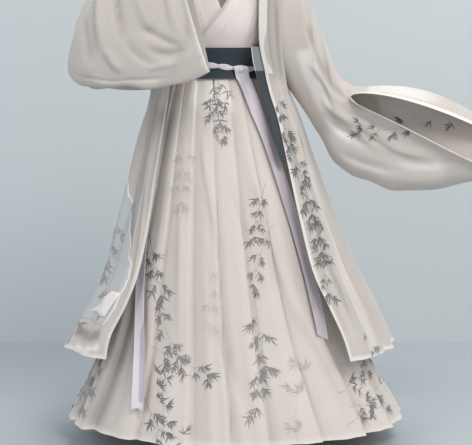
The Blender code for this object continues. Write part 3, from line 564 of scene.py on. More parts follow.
def clothMesh(name, points, quads, places, cloth, values):
    mesh = bpy.data.meshes.new(name)
    mesh.from_pydata(points, [], quads)
    layer = mesh.uv_layers.new(name="cloth")
    layer.data.foreach_set("uv", np.asarray(places, np.float32).ravel())
    for label, value in values.items():
        stored = mesh.attributes.new(label, "FLOAT", "POINT")
        stored.data.foreach_set("value", value.astype(np.float32))
    mesh.shade_smooth()
    mesh.materials.append(clothOf[cloth])
    return mesh


def makeShell(name, grid, wall, cloth, *nodes, closed=False, flip=False, hem=0.0, shade=0.0, slot=None):
    rows, columns = grid.shape[:2]
    sign = -1.0 if flip else 1.0
    inside = grid - gridNormals(grid, closed) * wall * sign
    points = np.concatenate([grid.reshape(-1, 3), inside.reshape(-1, 3)])
    half = rows * columns
    across, along = arcLengths(grid, closed)
    wide = across.shape[1]
    row, column = np.meshgrid(np.arange(rows - 1), np.arange(wide - 1), indexing="ij")
    row, column = row.ravel(), column.ravel()
    spots = [(row, column), (row, column + 1), (row + 1, column + 1), (row + 1, column)]
    c = np.arange(wide - 1)
    low, high = 0 * c, 0 * c + rows - 1
    loops = [    # each is four (row, column, layer), as arrays
        [(r, c, 0 * r) for r, c in spots],
        [(r, c, 0 * r + 1) for r, c in spots[::-1]],
        [(low, c, low), (low, c, low + 1), (low, c + 1, low + 1), (low, c + 1, low)],
        [(high, c + 1, low), (high, c + 1, low + 1), (high, c, low + 1), (high, c, low)],
    ]
    if not closed:
        r = np.arange(rows - 1)
        start, end = 0 * r, 0 * r + columns - 1
        loops.append([(r + 1, start, start), (r + 1, start, start + 1),
                      (r, start, start + 1), (r, start, start)])
        loops.append([(r, end, start), (r, end, start + 1), (r + 1, end, start + 1), (r + 1, end, start)])
    quads, places = [], []
    for corners in (each[::-1] if flip else each for each in loops):
        quads.append(np.stack([r * columns + c % columns + layer * half for r, c, layer in corners], axis=1))
        spots = [np.stack([across[r, c], along[r, c]], axis=1) for r, c, _ in corners]
        places.append(np.stack(spots, axis=1))
    # hem holds hem bands and painted light; shade holds painted shade and the collar's grey line
    values = {label: np.tile(np.broadcast_to(value, (rows, columns)).ravel(), 2)
              for label, value in (("hem", hem), ("shade", shade))}
    quads = np.concatenate(quads).tolist()
    mesh = clothMesh(name, points.tolist(), quads, np.concatenate(places), cloth, values)
    mesh.set_sharp_from_angle(angle=math.radians(60))
    return wear(addObject(name, mesh), slot or cloth, *nodes)


def closedTube(name, grid, cloth, *nodes):    # a ring of rings: both ways round it closes
    count, around = grid.shape[:2]
    quads = [(r * around + c, r * around + (c + 1) % around, (r + 1) % count * around + (c + 1) % around,
              (r + 1) % count * around + c) for r in range(count) for c in range(around)]
    spots = [(c * 0.002, r * 0.0026) for r in range(count) for c in range(around)]
    places = [spots[v] for quad in quads for v in quad]
    values = dict.fromkeys(("hem", "shade"), np.zeros(len(spots)))
    mesh = clothMesh(name, grid.reshape(-1, 3).tolist(), quads, places, cloth, values)
    return wear(addObject(name, mesh), cloth, *nodes)


seams = {}    # lines of points that the stitches follow, for each cloth
stitchLook = {"Spacing": 0.0052, "Length": 0.0032, "Thickness": 0.00055, "Uneven": 0.3, "Seed": 4,
              "proud": 0.0002, "segments": 5, "rings": 3}


def addSeams(cloth, grid, rows=(), columns=(), closed=False, sign=1.0):
    proud = grid + gridNormals(grid, closed) * sign * stitchLook["proud"]
    lines = [(proud[row], closed) for row in rows] + [(proud[:, column], False) for column in columns]
    seams.setdefault(cloth, []).extend(lines)


def rowRange(start, end, step):
    return np.linspace(start, end, max(2, int(round((end - start) / step)) + 1))


# ---- fronts and the strips on their edges
def stripSpread(line, edgeOf, row, width):    # degrees that a strip of this width takes up
    edge = edgeOf(row)
    pair = line([edge - 0.5, edge + 0.5], row)
    along = line([edgeOf(row + 0.05)], row + 0.05)[0] - line([edgeOf(row - 0.05)], row - 0.05)[0]
    return width / np.linalg.norm(np.cross(pair[1] - pair[0], along / np.linalg.norm(along)))


def frontGrid(line, frontOf, sideOf, side, rows, columns, lift):
    def angles(row):
        spread = np.linspace(frontOf(row), sideOf(row), columns)
        return spread if side > 0 else -spread[::-1]
    return surfaceGrid(line, angles, rows, lift)


def backGrid(line, edgeOf, rows, columns, lift):
    def angles(row):
        return np.linspace(180 - edgeOf(row), 180 + edgeOf(row), columns)
    return surfaceGrid(line, angles, rows, lift)


def stripGrid(line, frontOf, sideOf, side, rows, neckRow, width, columns, lift):
    def stripEnd(row):
        widest = (sideOf(row) - frontOf(row)) * 0.97
        if row > neckRow:
            return frontOf(row) + widest
        return frontOf(row) + min(stripSpread(line, frontOf, row, width(row)), widest)
    return frontGrid(line, frontOf, stripEnd, side, rows, columns, lift)


# ---- the crossed-collar top
topLook = {"columns": 46, "rowStep": 0.16, "hemAt": -0.347, "collarWidth": 0.034, "collarColumns": 11,
           "innerWidth": 0.046, "neckRows": 0.6, "backColumns": 70, "shade": 0.22, "collarGreyLine": 0.75,
           "collarRise": 0.0007, "collarSink": 0.0004}
overRise = solidWall["top"] + seamGap + solidWall["collar"] + layerGap
sides = (("Left", 1), ("Right", -1))
topCreases = makeCreases([    # paths in degrees and row numbers, then width and depth
    ((25, 5.2), (17, 3.6), (5, 2.1), 0.006, -0.004), ((14, 4.1), (3, 2.9), (-8, 2), 0.005, -0.003),
    ((36, 4.7), (31, 3.3), (23, 2.1), 0.007, 0.0035), ((44, 4.2), (40, 2.9), (33, 2), 0.006, -0.0035),
    ((-4, 3.4), (8, 2.75), (26, 2.25), 0.006, 0.0025), ((70, 3.6), (56, 2.8), (44, 2.2), 0.01, 0.0045),
    ((78, 2.4), (60, 2.1), (40, 1.9), 0.006, -0.0035),
    ((-64, 3.4), (-46, 2.7), (-28, 2.4), 0.009, 0.0035),
    ((-72, 2.4), (-50, 2), (-36, 1.9), 0.007, -0.0035), ((115, 3.8), (140, 3), (165, 2.7), 0.012, 0.0045),
    ((-112, 3.5), (-138, 2.9), (-160, 2.4), 0.011, 0.0045),
    ((125, 2.3), (150, 2), (178, 2.1), 0.009, -0.004),
    ((150, 5.6), (172, 5.1), (196, 5.5), 0.012, 0.0035),
])
topCreaseLines = creaseLines(topLine, topCreases)


def overLift(angles, row):    # the left front lies over the right one and its collar
    aside = np.clip((60.0 - np.asarray(angles)) / 20.0, 0, 1)
    return overRise * aside * min(1.0, max(0.0, (6.0 - row) / 1.8))


def makeTop(look):
    last = len(topRows) - 1
    rows = rowRange(rowAtHeight(topRows, "side", look["hemAt"]), last, look["rowStep"])
    neckRow = last - look["neckRows"] - 1e-6
    wall = solidWall["top"]
    grid = backGrid(topLine, topEdge, rows, look["backColumns"], wall)
    grid, dark = pressCreases(grid, topCreaseLines)
    piece = makeShell("topBack", grid, shellWall["top"], "top", "top_back", shade=dark * look["shade"])
    rowsOfNeck = np.concatenate([[neckRow], rows[rows > neckRow]])
    grid = backGrid(topLine, topEdge, rowsOfNeck, look["backColumns"], wall + seamGap + solidWall["collar"])
    makeShell("topCollarBack", grid, shellWall["neckBand"], "top", "top_collar_back")
    for label, side in sides:
        node = label.lower()

        def frontOf(row, column=node + "Edge"):
            return float(blend(topRows, column, row))

        def lift(angles, row, side=side):
            return (overLift(angles, row) if side > 0 else 0.0) + wall

        grid = frontGrid(topLine, frontOf, topEdge, side, rows, look["columns"], lift)
        grid, dark = pressCreases(grid, topCreaseLines)
        shade = dark * look["shade"]
        piece = makeShell("topFront" + label, grid, shellWall["top"], "top", "top_front_" + node, shade=shade)
        def collarLift(angles, row):
            return lift(angles, row) + seamGap + solidWall["collar"]

        grid = stripGrid(topLine, frontOf, topEdge, side, rows, neckRow, lambda row: look["collarWidth"],
                         look["collarColumns"], collarLift)
        rise = ramp(edgeDistance(grid, ("start", "end")), 0.0, 0.005)
        grid, _ = pressCreases(grid, topCreaseLines)
        grid = grid + gridNormals(grid) * (look["collarRise"] * rise - look["collarSink"])[:, :, None]
        gap = edgeDistance(grid, ("start",))
        line = (1 - ramp(gap, 0.0075, 0.0095)) * ramp(gap, 0.0015, 0.0025)
        collarGreyLine = look["collarGreyLine"] * line if side > 0 else 0.0    # a grey line, drawn through the shade attribute, along the upper collar's edge
        piece = makeShell("topCollar" + label, grid, shellWall["collar"], "top", "top_collar_" + node,
                          hem=0.15, shade=collarGreyLine)
        addSeams("top", grid, columns=(1, -2))


def makeInnerCollar(look):    # a second collar inside the right front's edge
    low, high = 2.6, 6.4

    def edge(row):
        return -float(blend(topRows, "rightEdge", row))

    def angles(row):
        wide = look["innerWidth"] * (1 - 0.85 * float(ramp(row, 5.2, high)))
        return np.linspace(edge(row) - 4, edge(row) + stripSpread(topLine, edge, row, wide), 12)

    grid = surfaceGrid(topLine, angles, rowRange(low, high, 0.12), -0.0004)
    hem = edgeBand(grid, ("end",), 0.002, 0.004)
    piece = makeShell("topCollarInner", grid, shellWall["collar"], "top", hem=hem)


makeTop(topLook)
makeInnerCollar(topLook)
print("top made")


# ---- the pleated skirt and its lining
pleats = makeRows(Pleat, [
    (-172, -170, 0.8, 1.1), (-152, -151, 1, 0.9), (-133, -135, 0.75, 1.2), (-114, -113, 0.95, 0.8),
    (-97, -95, 0.8, 1.1), (-80, -76, 1.05, 0.9), (-64, -58, 0.7, 1.2), (-45, -35, 0.85, 0.85),
    (-27, -14, 0.6, 1.15), (-8, -1, 0.75, 0.9), (13, 12, 0.55, 1.1), (27, 31, 0.8, 0.85),
    (47, 50, 0.9, 1.15), (66, 67, 0.75, 0.9), (84, 86, 1, 1.1), (101, 104, 0.8, 0.85),
    (119, 120, 0.95, 1.2), (137, 139, 0.7, 0.9), (155, 155, 0.9, 1.1), (172, 173, 0.6, 1),
])
# valley and creaseShade set how strong the painted shade is
skirtLook = {"columns": 520, "rowCount": 60, "depthTop": 0.0040, "depthHem": 0.030, "fill": 0.82,
             "gather": 0.0005, "gatherCount": 34, "edge": 0.10, "liningColumns": 150, "liningRows": 40,
             "liningHem": -1.285, "valley": 0.38, "creaseShade": 0.20, "hem": 0.6}
skirtShades = makeCreases([    # strokes of light (negative) and shade over the pleats
    ((-36, -0.41), (-8, -0.415), (14, -0.41), 0.042, -0.85),
    ((-60, -0.41), (-57, -0.56), (-52, -0.74), (-50, -0.92), 0.032, -0.8),
    ((-52, -1.02), (-55, -1.16), (-58, -1.33), 0.034, 0.3),
    ((-76, -0.84), (-74, -1.05), (-78, -1.33), 0.06, 0.5),
    ((-58, -0.92), (-59, -1.12), (-60, -1.33), 0.04, 0.36),
    ((-46, -1.16), (-48, -1.26), (-50, -1.33), 0.03, 0.2),
    ((76, -1.06), (72, -1.2), (70, -1.33), 0.04, 0.22),
    ((14, -0.45), (20, -0.66), (30, -0.95), 0.016, 0.16),
])
skirtCreases = makeCreases([    # paths in degrees and heights
    ((-18, -0.52), (-10, -0.68), (-4, -0.82), 0.014, 0.0045),
    ((4, -0.66), (14, -0.8), (20, -0.98), 0.018, -0.005),
    ((-30, -0.72), (-26, -0.9), (-22, -1.12), 0.02, 0.005),
    ((24, -0.6), (30, -0.82), (37, -1.1), 0.016, 0.005),
    ((-8, -1.02), (0, -1.14), (6, -1.27), 0.022, -0.006),
    ((36, -0.95), (43, -1.12), (46, -1.28), 0.022, 0.007),
    ((-48, -1), (-50, -1.14), (-47, -1.28), 0.02, -0.006),
    ((96, -0.7), (94, -0.92), (99, -1.16), 0.02, 0.006),
    ((128, -0.6), (133, -0.86), (130, -1.1), 0.022, 0.006),
    ((164, -0.8), (160, -1.02), (166, -1.24), 0.02, -0.006),
    ((-142, -0.66), (-146, -0.94), (-141, -1.2), 0.022, 0.0065),
    ((-104, -0.8), (-108, -1.04), (-104, -1.25), 0.018, -0.006),
])


def pleatHeights(angles, height, look=skirtLook):
    t = float(np.clip((skirtRows[0].z - height) / (skirtRows[0].z - skirtRows[-1].z), 0, 1))
    edges = np.array([each.top + (each.hem - each.top) * t**0.8 for each in pleats])
    edges = np.append(edges, edges[0] + 360)
    angles = (np.asarray(angles, float) - edges[0]) % 360 + edges[0]
    number = np.clip(np.searchsorted(edges, angles, side="right") - 1, 0, len(pleats) - 1)
    share = (angles - edges[number]) / (edges[number + 1] - edges[number])
    depth = np.array([each.depth for each in pleats])[number]
    lean = np.array([each.lean for each in pleats])[number]
    share = np.clip(share, 0, 1) ** lean
    side = 0.10 * np.sin(share * 4 * math.pi + number * 1.9) * share * (1 - share) * 4
    rise = np.sin(np.clip(share / (1 - look["edge"]), 0, 1) * math.pi / 2) ** 0.8
    drop = ramp(share, 1 - look["edge"], 1.0)    # each pleat swells slowly and turns under at one edge
    return depth * rise * (1 - drop) + side * t


def skirtLine(angles, height, rise=0.0):
    row = rowAtHeight(skirtRows, "z", height)
    widths = [blend(skirtRows, column, row) + rise for column in ("halfWidth", "front", "back")]
    return ringLine(angles, blend(skirtRows, "centre", row), *widths, height)


def pleatDepth(height, look):
    along = max(0.0, (height - skirtRows[0].z) / (skirtRows[-1].z - skirtRows[0].z))
    return look["depthTop"] + (look["depthHem"] - look["depthTop"]) * along**0.9


def outerSkirt(angles, height, look=skirtLook):
    turn = np.radians(np.asarray(angles, float))
    rise = pleatDepth(height, look) * look["fill"] * pleatHeights(angles, height) + solidWall["skirt"]
    near = 1 - float(ramp(-height, 0.352, 0.50))    # small gathers below the waistband
    rise = rise + near * look["gather"] * (1 + np.sin(turn * look["gatherCount"] + 2.2 * np.sin(turn * 7)))
    return skirtLine(angles, height, rise)


def makeSkirt(look):
    heights = np.linspace(skirtRows[-1].z, skirtRows[0].z, look["rowCount"])
    angles = fullTurn(look["columns"])
    grid = np.array([outerSkirt(angles, height) for height in heights])
    grid, dark = pressCreases(grid, creaseLines(outerSkirt, skirtCreases), closed=True)
    hem = 1 - ramp((heights - skirtRows[-1].z)[:, None], 0.012, 0.016)
    # painted shade in the pleats' valleys, weaker towards the waist
    valley = np.array([1 - pleatHeights(angles, height) for height in heights]).clip(0, 1) ** 4
    valley *= (0.60 + 0.40 * ramp(-heights, 0.42, 0.80))[:, None]
    paint = paintLightAndShade(grid, creaseLines(outerSkirt, skirtShades), closed=True)
    shade = (look["creaseShade"] * dark + look["valley"] * valley + paint).clip(0, 1)
    # hem takes the hem band and painted light; shade takes the painted shade
    piece = makeShell("skirtOuter", grid, shellWall["skirt"], "skirt", "skirt", closed=True,
                      hem=np.maximum(hem * look["hem"], -paint), shade=shade)
    addSeams("skirt", grid, rows=(1,), closed=True)
    turns = np.radians(fullTurn(look["liningColumns"]))
    wave = np.sin(turns * 11 + np.sin(turns * 3) * 1.5)
    grid = []
    for height in np.linspace(look["liningHem"], skirtRows[0].z, look["liningRows"]):
        drop = float(ramp(-height, 0.4, 1.285))
        sink = -0.0004 - 0.0032 * drop - 0.006 * drop * (1 + wave)
        grid.append(skirtLine(fullTurn(look["liningColumns"]), height, sink))
    grid = np.array(grid)
    piece = makeShell("skirtLining", grid, shellWall["skirt"], "lining", "skirt_lining", closed=True)


makeSkirt(skirtLook)
print("skirt made")


# ---- the open robe
robeLook = {"bandWidth": 0.026, "bandColumns": 9, "neckRows": 0.6, "bandRow": 7.55, "columns": 56,
            "backColumns": 170, "rowStep": 0.14, "upperStep": 0.16, "hemWidth": 0.008, "hem": 0.6,
            "shade": 0.35, "edgePull": 3.6}
robeCreases = makeCreases([    # paths in degrees and row numbers
    ((44, 10.6), (48, 8.7), (60, 7.3), 0.009, -0.007), ((52, 10.4), (60, 8.6), (71, 6.9), 0.01, 0.0065),
    ((66, 9.8), (78, 8.3), (84, 6.6), 0.01, -0.0065), ((74, 6), (66, 4.3), (63, 2.8), 0.012, 0.008),
    ((64, 4.8), (59, 2.6), (64, 0), 0.013, -0.009), ((56, 4.6), (54, 3), (54, 0.6), 0.012, 0.008),
    ((60, 6.6), (54, 5), (51, 3.8), 0.011, -0.006), ((84, 5.4), (78, 3.4), (76, 0.8), 0.013, -0.008),
    ((-52, 7.4), (-50, 5.4), (-52, 4.2), 0.009, -0.005),
    ((-59, 6.8), (-57, 5.2), (-57, 4), 0.009, 0.0055),
    ((-54, 4.6), (-51, 3.5), (-50, 2.2), 0.007, 0.0055),
    ((-70, 6.8), (-66, 4.6), (-63, 2.8), 0.012, -0.006),
    ((-82, 6.4), (-80, 4.2), (-84, 2), 0.013, 0.0075), ((112, 9.4), (132, 8.5), (150, 7.4), 0.014, 0.007),
    ((118, 8.2), (138, 7.2), (150, 5.8), 0.013, -0.007),
    ((-110, 9.2), (-130, 8.2), (-146, 7), 0.014, 0.007),
    ((-116, 7.8), (-136, 6.8), (-150, 5.2), 0.012, -0.007),
    ((150, 10.8), (180, 10.2), (208, 10.7), 0.014, 0.0045),
    ((162, 9), (172, 7.6), (168, 5.6), 0.015, 0.007), ((196, 8.8), (190, 7), (198, 5), 0.014, 0.007),
    ((176, 5.6), (182, 3.6), (176, 1), 0.014, -0.008),
    ((140, 5.4), (136, 3.2), (140, 0.8), 0.013, -0.008),
    ((218, 5.8), (224, 3.6), (220, 1), 0.014, -0.008),
])
robeShades = makeCreases([    # shade where positive, light where negative
    ((-47, 6.9), (-47, 6), (-48, 5.2), (-49, 3.8), 0.014, 0.34),
    ((-58, 6.6), (-60, 5.6), (-60, 4.4), (-58, 3), 0.028, 0.62),
    ((-76, 8), (-76, 5.6), (-74, 4.2), 0.024, 0.14), ((-64, 4.2), (-58, 3.5), (-54, 2.4), 0.01, 0.3),
    ((-65, 4.2), (-74, 3.4), (-76, 2.4), 0.022, 0.3), ((-76, 1.6), (-70, 1.4), (-62, 1.4), 0.016, 0.22),
    ((-90, 3.6), (-84, 1.9), (-82, 0.2), 0.03, -0.25),
    ((-56, 4.4), (-55, 3.4), (-54, 2.5), 0.0045, -0.55),
    ((-78, 0.8), (-67, 0.75), (-56, 0.95), 0.016, 0.95),
    ((-47, 7.6), (-49, 6.8), (-50, 6.2), 0.02, -0.45), ((50, 10.2), (52, 8.8), (56, 7.3), 0.034, 0.42),
    ((-73, 0.35), (-64, 0.28), (-55, 0.55), 0.008, -0.8), ((70, 5), (62, 2.6), (61, 0), 0.02, -0.42),
    ((47, 3.8), (47.5, 2.2), (49, 1), 0.01, 0.2), ((48, 7.6), (50, 5.6), (52, 4.2), 0.02, 0.2),
])
robeShadeLines = creaseLines(robeLine, robeShades)
robeCreaseLines = creaseLines(robeLine, robeCreases)


def makeRobe(look):
    last = len(robeRows) - 1
    upper = rowRange(robeUnderarm, last, look["upperStep"])[1:]
    rows = np.concatenate([rowRange(0, robeUnderarm, look["rowStep"]), upper])
    wall = solidWall["robe"]
    rise = wall + seamGap + solidWall["band"]
    neckRow = last - look["neckRows"] - 1e-6
    hemEnd = look["hemWidth"] + 0.003
    grid = backGrid(robeLine, robeEdge, rows, look["backColumns"], wall)
    grid, dark = pressCreases(grid, robeCreaseLines)
    hem = edgeBand(grid, ("low",), look["hemWidth"], hemEnd) * look["hem"]
    shade = dark * look["shade"]
    piece = makeShell("robeBack", grid, shellWall["robe"], "robe", "robe_back", hem=hem, shade=shade)
    addSeams("robe", grid, rows=(1,))
    rowsOfNeck = np.concatenate([[neckRow], rows[rows > neckRow]])
    grid = backGrid(robeLine, robeEdge, rowsOfNeck, look["backColumns"], rise)
    makeShell("robeBandBack", grid, shellWall["neckBand"], "robe", "robe_band_back", hem=0.7)

    def bandWidth(row):    # the band is twisted thin beside the sash and spreads at its end
        thin = float(ramp(row, 7.75, 8.1) * (1 - ramp(row, 8.5, 9.1)))
        return look["bandWidth"] * (1 - 0.55 * thin)

    for label, side in sides:
        node = label.lower()

        def frontOf(row, side=side, column=node + "Edge"):
            pull = look["edgePull"] * float(ramp(row, 7.7, 8.8)) if side > 0 else 0.0
            return float(blend(robeRows, column, row)) - pull

        grid = frontGrid(robeLine, frontOf, robeEdge, side, rows, look["columns"], wall)
        grid, dark = pressCreases(grid, robeCreaseLines)
        paint = paintLightAndShade(grid, robeShadeLines)
        hem = edgeBand(grid, ("low", "start" if side > 0 else "end"), look["hemWidth"], hemEnd) * look["hem"]
        shade = (dark * look["shade"] + paint.clip(0, 1)).clip(0, 1)
        # hem takes the hem bands and painted light; shade takes painted shade from creases and strokes
        piece = makeShell("robeFront" + label, grid, shellWall["robe"], "robe", "robe_front_" + node,
                          hem=np.maximum(hem, -paint), shade=shade)
        addSeams("robe", grid, rows=(1,), columns=(2 if side > 0 else -3,))
        grid = stripGrid(robeLine, frontOf, robeEdge, side, rows[rows > look["bandRow"]], neckRow, bandWidth,
                         look["bandColumns"], rise)
        grid, _ = pressCreases(grid, robeCreaseLines)
        piece = makeShell("robeBand" + label, grid, shellWall["band"], "robe", "robe_band_" + node, hem=0.35)
        addSeams("robe", grid, columns=(1, -2))


tailEdge = ((1.2, -57), (1.8, -54.5), (2.2, -54), (2.5, -53), (2.9, -52), (3.5, -58), (3.9, -64), (4.2, -74),
            (4.9, -84))
tailLook = {"side": -89.5, "columns": 34, "rows": (1.25, 4.9, 0.05), "lift": 0.0012, "jag": 0.7, "seed": 5,
            "steps": 60, "stepsInRow": 9, "shade": 0.25, "patchRows": (1.50, 2.28, 0.04), "patchLift": 0.0030,
            "patchColumns": 16, "puff": 0.0035, "ripple": 0.0016, "puffWidth": 0.012}


def makeTail(look):    # the printed tail of the right front, over its outer half, and the corner turned back
    edgeRows, edgeAngles = np.array(tailEdge).T
    chance = random.Random(look["seed"])
    steps = [chance.uniform(-1.0, 1.0) for _ in range(look["steps"])]

    def angles(row):
        jag = steps[int(row * look["stepsInRow"]) % look["steps"]] * look["jag"] * float(ramp(row, 2.4, 2.9))
        return np.linspace(look["side"], np.interp(row, edgeRows, edgeAngles) + jag, look["columns"])

    grid = surfaceGrid(robeLine, angles, rowRange(*look["rows"]), solidWall["robe"] + look["lift"])
    grid, dark = pressCreases(grid, robeCreaseLines)
    hem = edgeBand(grid, ("end",), 0.0026, 0.0042)
    piece = makeShell("robeTail", grid, shellWall["robe"], "mist", hem=hem, shade=dark * look["shade"])

    def patchAngles(row):
        slant = (row - 1.55) / 0.7
        return np.linspace(-75 + 14 * slant, -58 + 4 * slant, look["patchColumns"])

    lift = solidWall["robe"] + look["patchLift"]
    grid = surfaceGrid(robeLine, patchAngles, rowRange(*look["patchRows"]), lift)
    puff = ramp(edgeDistance(grid, ("start", "end", "low", "high")), 0.0, look["puffWidth"])
    ripple = look["ripple"] * np.sin(np.linspace(0, 9, look["patchColumns"]))[None, :]
    grid = grid + gridNormals(grid) * (look["puff"] * puff + ripple * puff)[:, :, None]
    piece = makeShell("robeTurnback", grid, shellWall["robe"], "top", slot="robe", hem=0.7)


facingEdge = ((4.9, 40.5), (5.7, 38.6), (6.7, 37.8), (7.2, 36.6), (7.6, 33.5), (8.1, 30.5), (8.5, 29.0))


def makeFacing():    # the left edge's own facing shows past it, sheer above and dark below
    edgeRows, edgeAngles = np.array(facingEdge).T

    def angles(row):
        edge = float(blend(robeRows, "leftEdge", row))
        return np.linspace(np.interp(row, edgeRows, edgeAngles), edge + 1, 12)

    # the dark sheet stands for both the inner face's dark print and its painted shade
    for name, cloth, low, high, sink, flat in (
            ("robeFacingSheer", "facing", 7.3, 8.52, -0.0022, (0.034, 0.10)),
            ("robeFacingDark", "sash", 4.95, 7.75, -0.0012, (0.028, 0.27))):
        grid = surfaceGrid(robeLine, angles, rowRange(low, high, 0.08), sink)
        hem = edgeBand(grid, ("start",), 0.0016, 0.0026) if cloth == "facing" else 0.0
        piece = makeShell(name, grid, shellWall["robe"], cloth, slot="facing", hem=hem)


makeRobe(robeLook)
makeFacing()
makeTail(tailLook)
print("robe made")


# ---- sleeves
sleeveLook = {"count": 132, "step": 0.085, "hemWidth": 0.030, "edge": 0.0045, "joinRings": 9, "smoothing": 14,
              "shadeRight": 0.34, "shadeLeft": 0.22, "wave": 0.0045, "innerCount": 56, "innerStep": 0.12,
              "hemGap": 0.0005}
rightStrokes = makeCreases([    # light where negative, shade where positive
    ((214, 4.2), (206, 5), (202, 6), 0.014, -0.25), ((252, 6.2), (240, 6.35), (231, 6.6), 0.03, 0.1),
])
# painted light where negative, painted shade where positive
leftStrokes = makeCreases([
    ((98, -0.2), (106, 0.6), (112, 1.5), 0.022, -0.65),
    ((118, 1.7), (126, 2.8), (122, 4.2), (118, 5.4), 0.036, -0.42),
    ((290, 4.8), (290, 5.8), (290, 6.8), 0.1, -0.5), ((116, 1.3), (118, 1.9), (112, 2.6), 0.014, -0.3),
])
rightCreases = makeCreases([    # paths in degrees, 0 at the arm and 180 at the seam, and positions
    ((326, 4.6), (288, 4.9), (250, 5.12), 0.012, -0.013),
    ((258, 6.02), (274, 5.85), (306, 5.5), 0.013, 0.01),
    ((236, 6.6), (252, 6.15), (268, 5.62), 0.009, -0.008),
    ((234, 6.7), (236, 6.2), (248, 5.75), 0.013, -0.007),
    ((256, 5.2), (238, 5.55), (222, 6.1), 0.01, -0.006),
    ((290, 6.9), (256, 6.8), (232, 6.6), 0.01, -0.008),
    ((232, 6.7), (224, 6.4), (206, 6.2), 0.007, 0.006),
    ((290, 3.6), (258, 4.05), (228, 4.2), 0.018, -0.008),
    ((330, 4.05), (282, 4.35), (242, 4.6), 0.016, 0.008),
    ((214, 3.5), (209, 4.4), (203, 5.1), 0.005, -0.0042),
    ((207, 4.8), (208, 5.5), (205, 6.3), 0.005, -0.0042),
    ((222, 5.7), (224, 6.05), (220, 6.4), 0.006, 0.0045), ((240, 7), (226, 7), (210, 6.7), 0.007, -0.006),
    ((294, 6.45), (272, 6.45), (248, 6.5), 0.009, 0.006),
    ((252, 4.6), (236, 4.8), (220, 5.1), 0.012, 0.006),
    ((338, 2.4), (300, 2.5), (246, 2.5), 0.016, -0.009),
    ((330, 3.1), (296, 3.2), (250, 3.4), 0.016, 0.008), ((16, 2.2), (44, 2.6), (80, 2.6), 0.012, -0.007),
    ((12, 3.2), (50, 3.2), (96, 3.1), 0.014, -0.008), ((18, 4), (60, 4), (110, 3.8), 0.014, 0.006),
    ((20, 1.2), (50, 1.5), (90, 1.4), 0.014, 0.006), ((335, 0.8), (300, 1.2), (255, 1.3), 0.015, 0.0065),
    ((60, 5.2), (100, 5), (140, 4.8), 0.016, -0.006), ((30, 5.9), (66, 6), (110, 5.7), 0.012, 0.007),
])
leftCreases = makeCreases([
    ((76, 1.1), (80, 1.85), (64, 3.3), 0.01, -0.009),
    ((120, 1.25), (110, 2.4), (106, 3.5), 0.013, -0.009),
    ((110, 1.05), (98, 2.2), (90, 3.2), 0.012, 0.008), ((86, 2.5), (72, 4), (78, 5.3), 0.01, -0.006),
    ((140, 1.9), (132, 3), (124, 4.1), 0.015, -0.0065), ((92, 4), (100, 4.6), (106, 5.4), 0.014, 0.006),
    ((112, 4.2), (114, 5), (112, 5.9), 0.016, -0.0055), ((92, 2.7), (96, 3.65), (98, 4.6), 0.011, -0.006),
    ((98, 0.4), (86, 1.5), (96, 2.2), 0.012, 0.008), ((70, 0.3), (72, 0.9), (90, 1.4), 0.012, -0.007),
    ((20, 1.4), (50, 1.9), (84, 2.2), 0.009, 0.006), ((12, 0.5), (56, 0.9), (98, 1), 0.011, 0.006),
    ((330, 2.3), (296, 2.8), (250, 3.3), 0.013, -0.007),
    ((336, 1.6), (300, 2), (256, 2.4), 0.013, 0.0065),
    ((320, 3.2), (286, 3.6), (240, 4.1), 0.015, 0.0065),
    ((340, 0.6), (300, 1), (262, 1.2), 0.012, -0.006),
    ((300, 4.6), (264, 4.8), (226, 5.2), 0.015, -0.0065),
])


def armholeLoop(line, underarm, tip, turns, side, lift):
    loop = []
    for turn in turns:
        down = turn / 180 if turn <= 180 else 2 - turn / 180
        row = tip + (underarm - tip) * down
        edge = armholeEdge(underarm, tip, row)
        angle = side * (edge if turn <= 180 else 180 - edge)
        near = line([angle - 0.5, angle, angle + 0.5], row)
        above = line([angle], row + 0.02)[0]
        normal = np.cross(near[2] - near[0], above - near[1])
        loop.append(near[1] + normal / np.linalg.norm(normal) * lift)
    return np.array(loop)


def ovalSection(rows, position, turns):
    turns = np.radians(turns)
    armEnd, seamEnd, side = (blend(rows, column, position) for column in ("armEnd", "seamEnd", "side"))
    along = -np.cos(turns)
    fullness = 1.0 - float(blend(rows, "fullness", position)) * along
    fullness *= 1.0 + float(blend(rows, "curl", position)) * np.minimum(np.sin(turns), 0.0)
    ring = (armEnd + seamEnd) / 2 + np.outer(along, (seamEnd - armEnd) / 2)
    ring = ring + np.outer(np.sin(turns) * fullness, side)
    ring[:, 2] += float(blend(rows, "bow", position)) * (1 - along**2)
    return ring


def armSection(rows, position, turns, up):
    turns = np.radians(turns)
    along = blend(rows, "along", position)
    along = along / np.linalg.norm(along)
    top = up - along * (up @ along)
    top /= np.linalg.norm(top)
    front = np.cross(along, top) * math.copysign(1.0, up[0])
    ring = np.outer(np.cos(turns), top) + np.outer(np.sin(turns), front)
    return blend(rows, "centre", position) + float(blend(rows, "radius", position)) * ring


def sleeveGrid(loop, section, positions, look):
    first = section(positions[0])
    apart = first - loop
    loop = loop + apart / np.linalg.norm(apart, axis=1, keepdims=True) * sleeveGap
    join = [loop + (first - loop) * share for share in np.linspace(0, 1, look["joinRings"])[:-1]]
    grid = np.array(join + [section(position) for position in positions])
    ease = len(join) + 5
    for _ in range(look["smoothing"]):
        grid[1:ease] = (grid[:ease - 1] + 2 * grid[1:ease] + grid[2:ease + 1]) / 4
    return grid


def outwardFlip(grid):
    middle = grid.mean(axis=1, keepdims=True)
    return float(np.sum(gridNormals(grid, True) * (grid - middle))) < 0


def seamWave(grid, turns, positions, rings, look):    # the sewn lower edge hangs in soft uneven waves
    near = ramp(-np.cos(np.radians(turns)), 0.55, 1.0)
    sway = np.sin(positions * 2.7 + 0.6) + 0.55 * np.sin(positions * 6.1 + 2.0)
    grid[rings:, :, 2] += look["wave"] * np.outer(sway * ramp(positions, 0.3, 1.2), near)


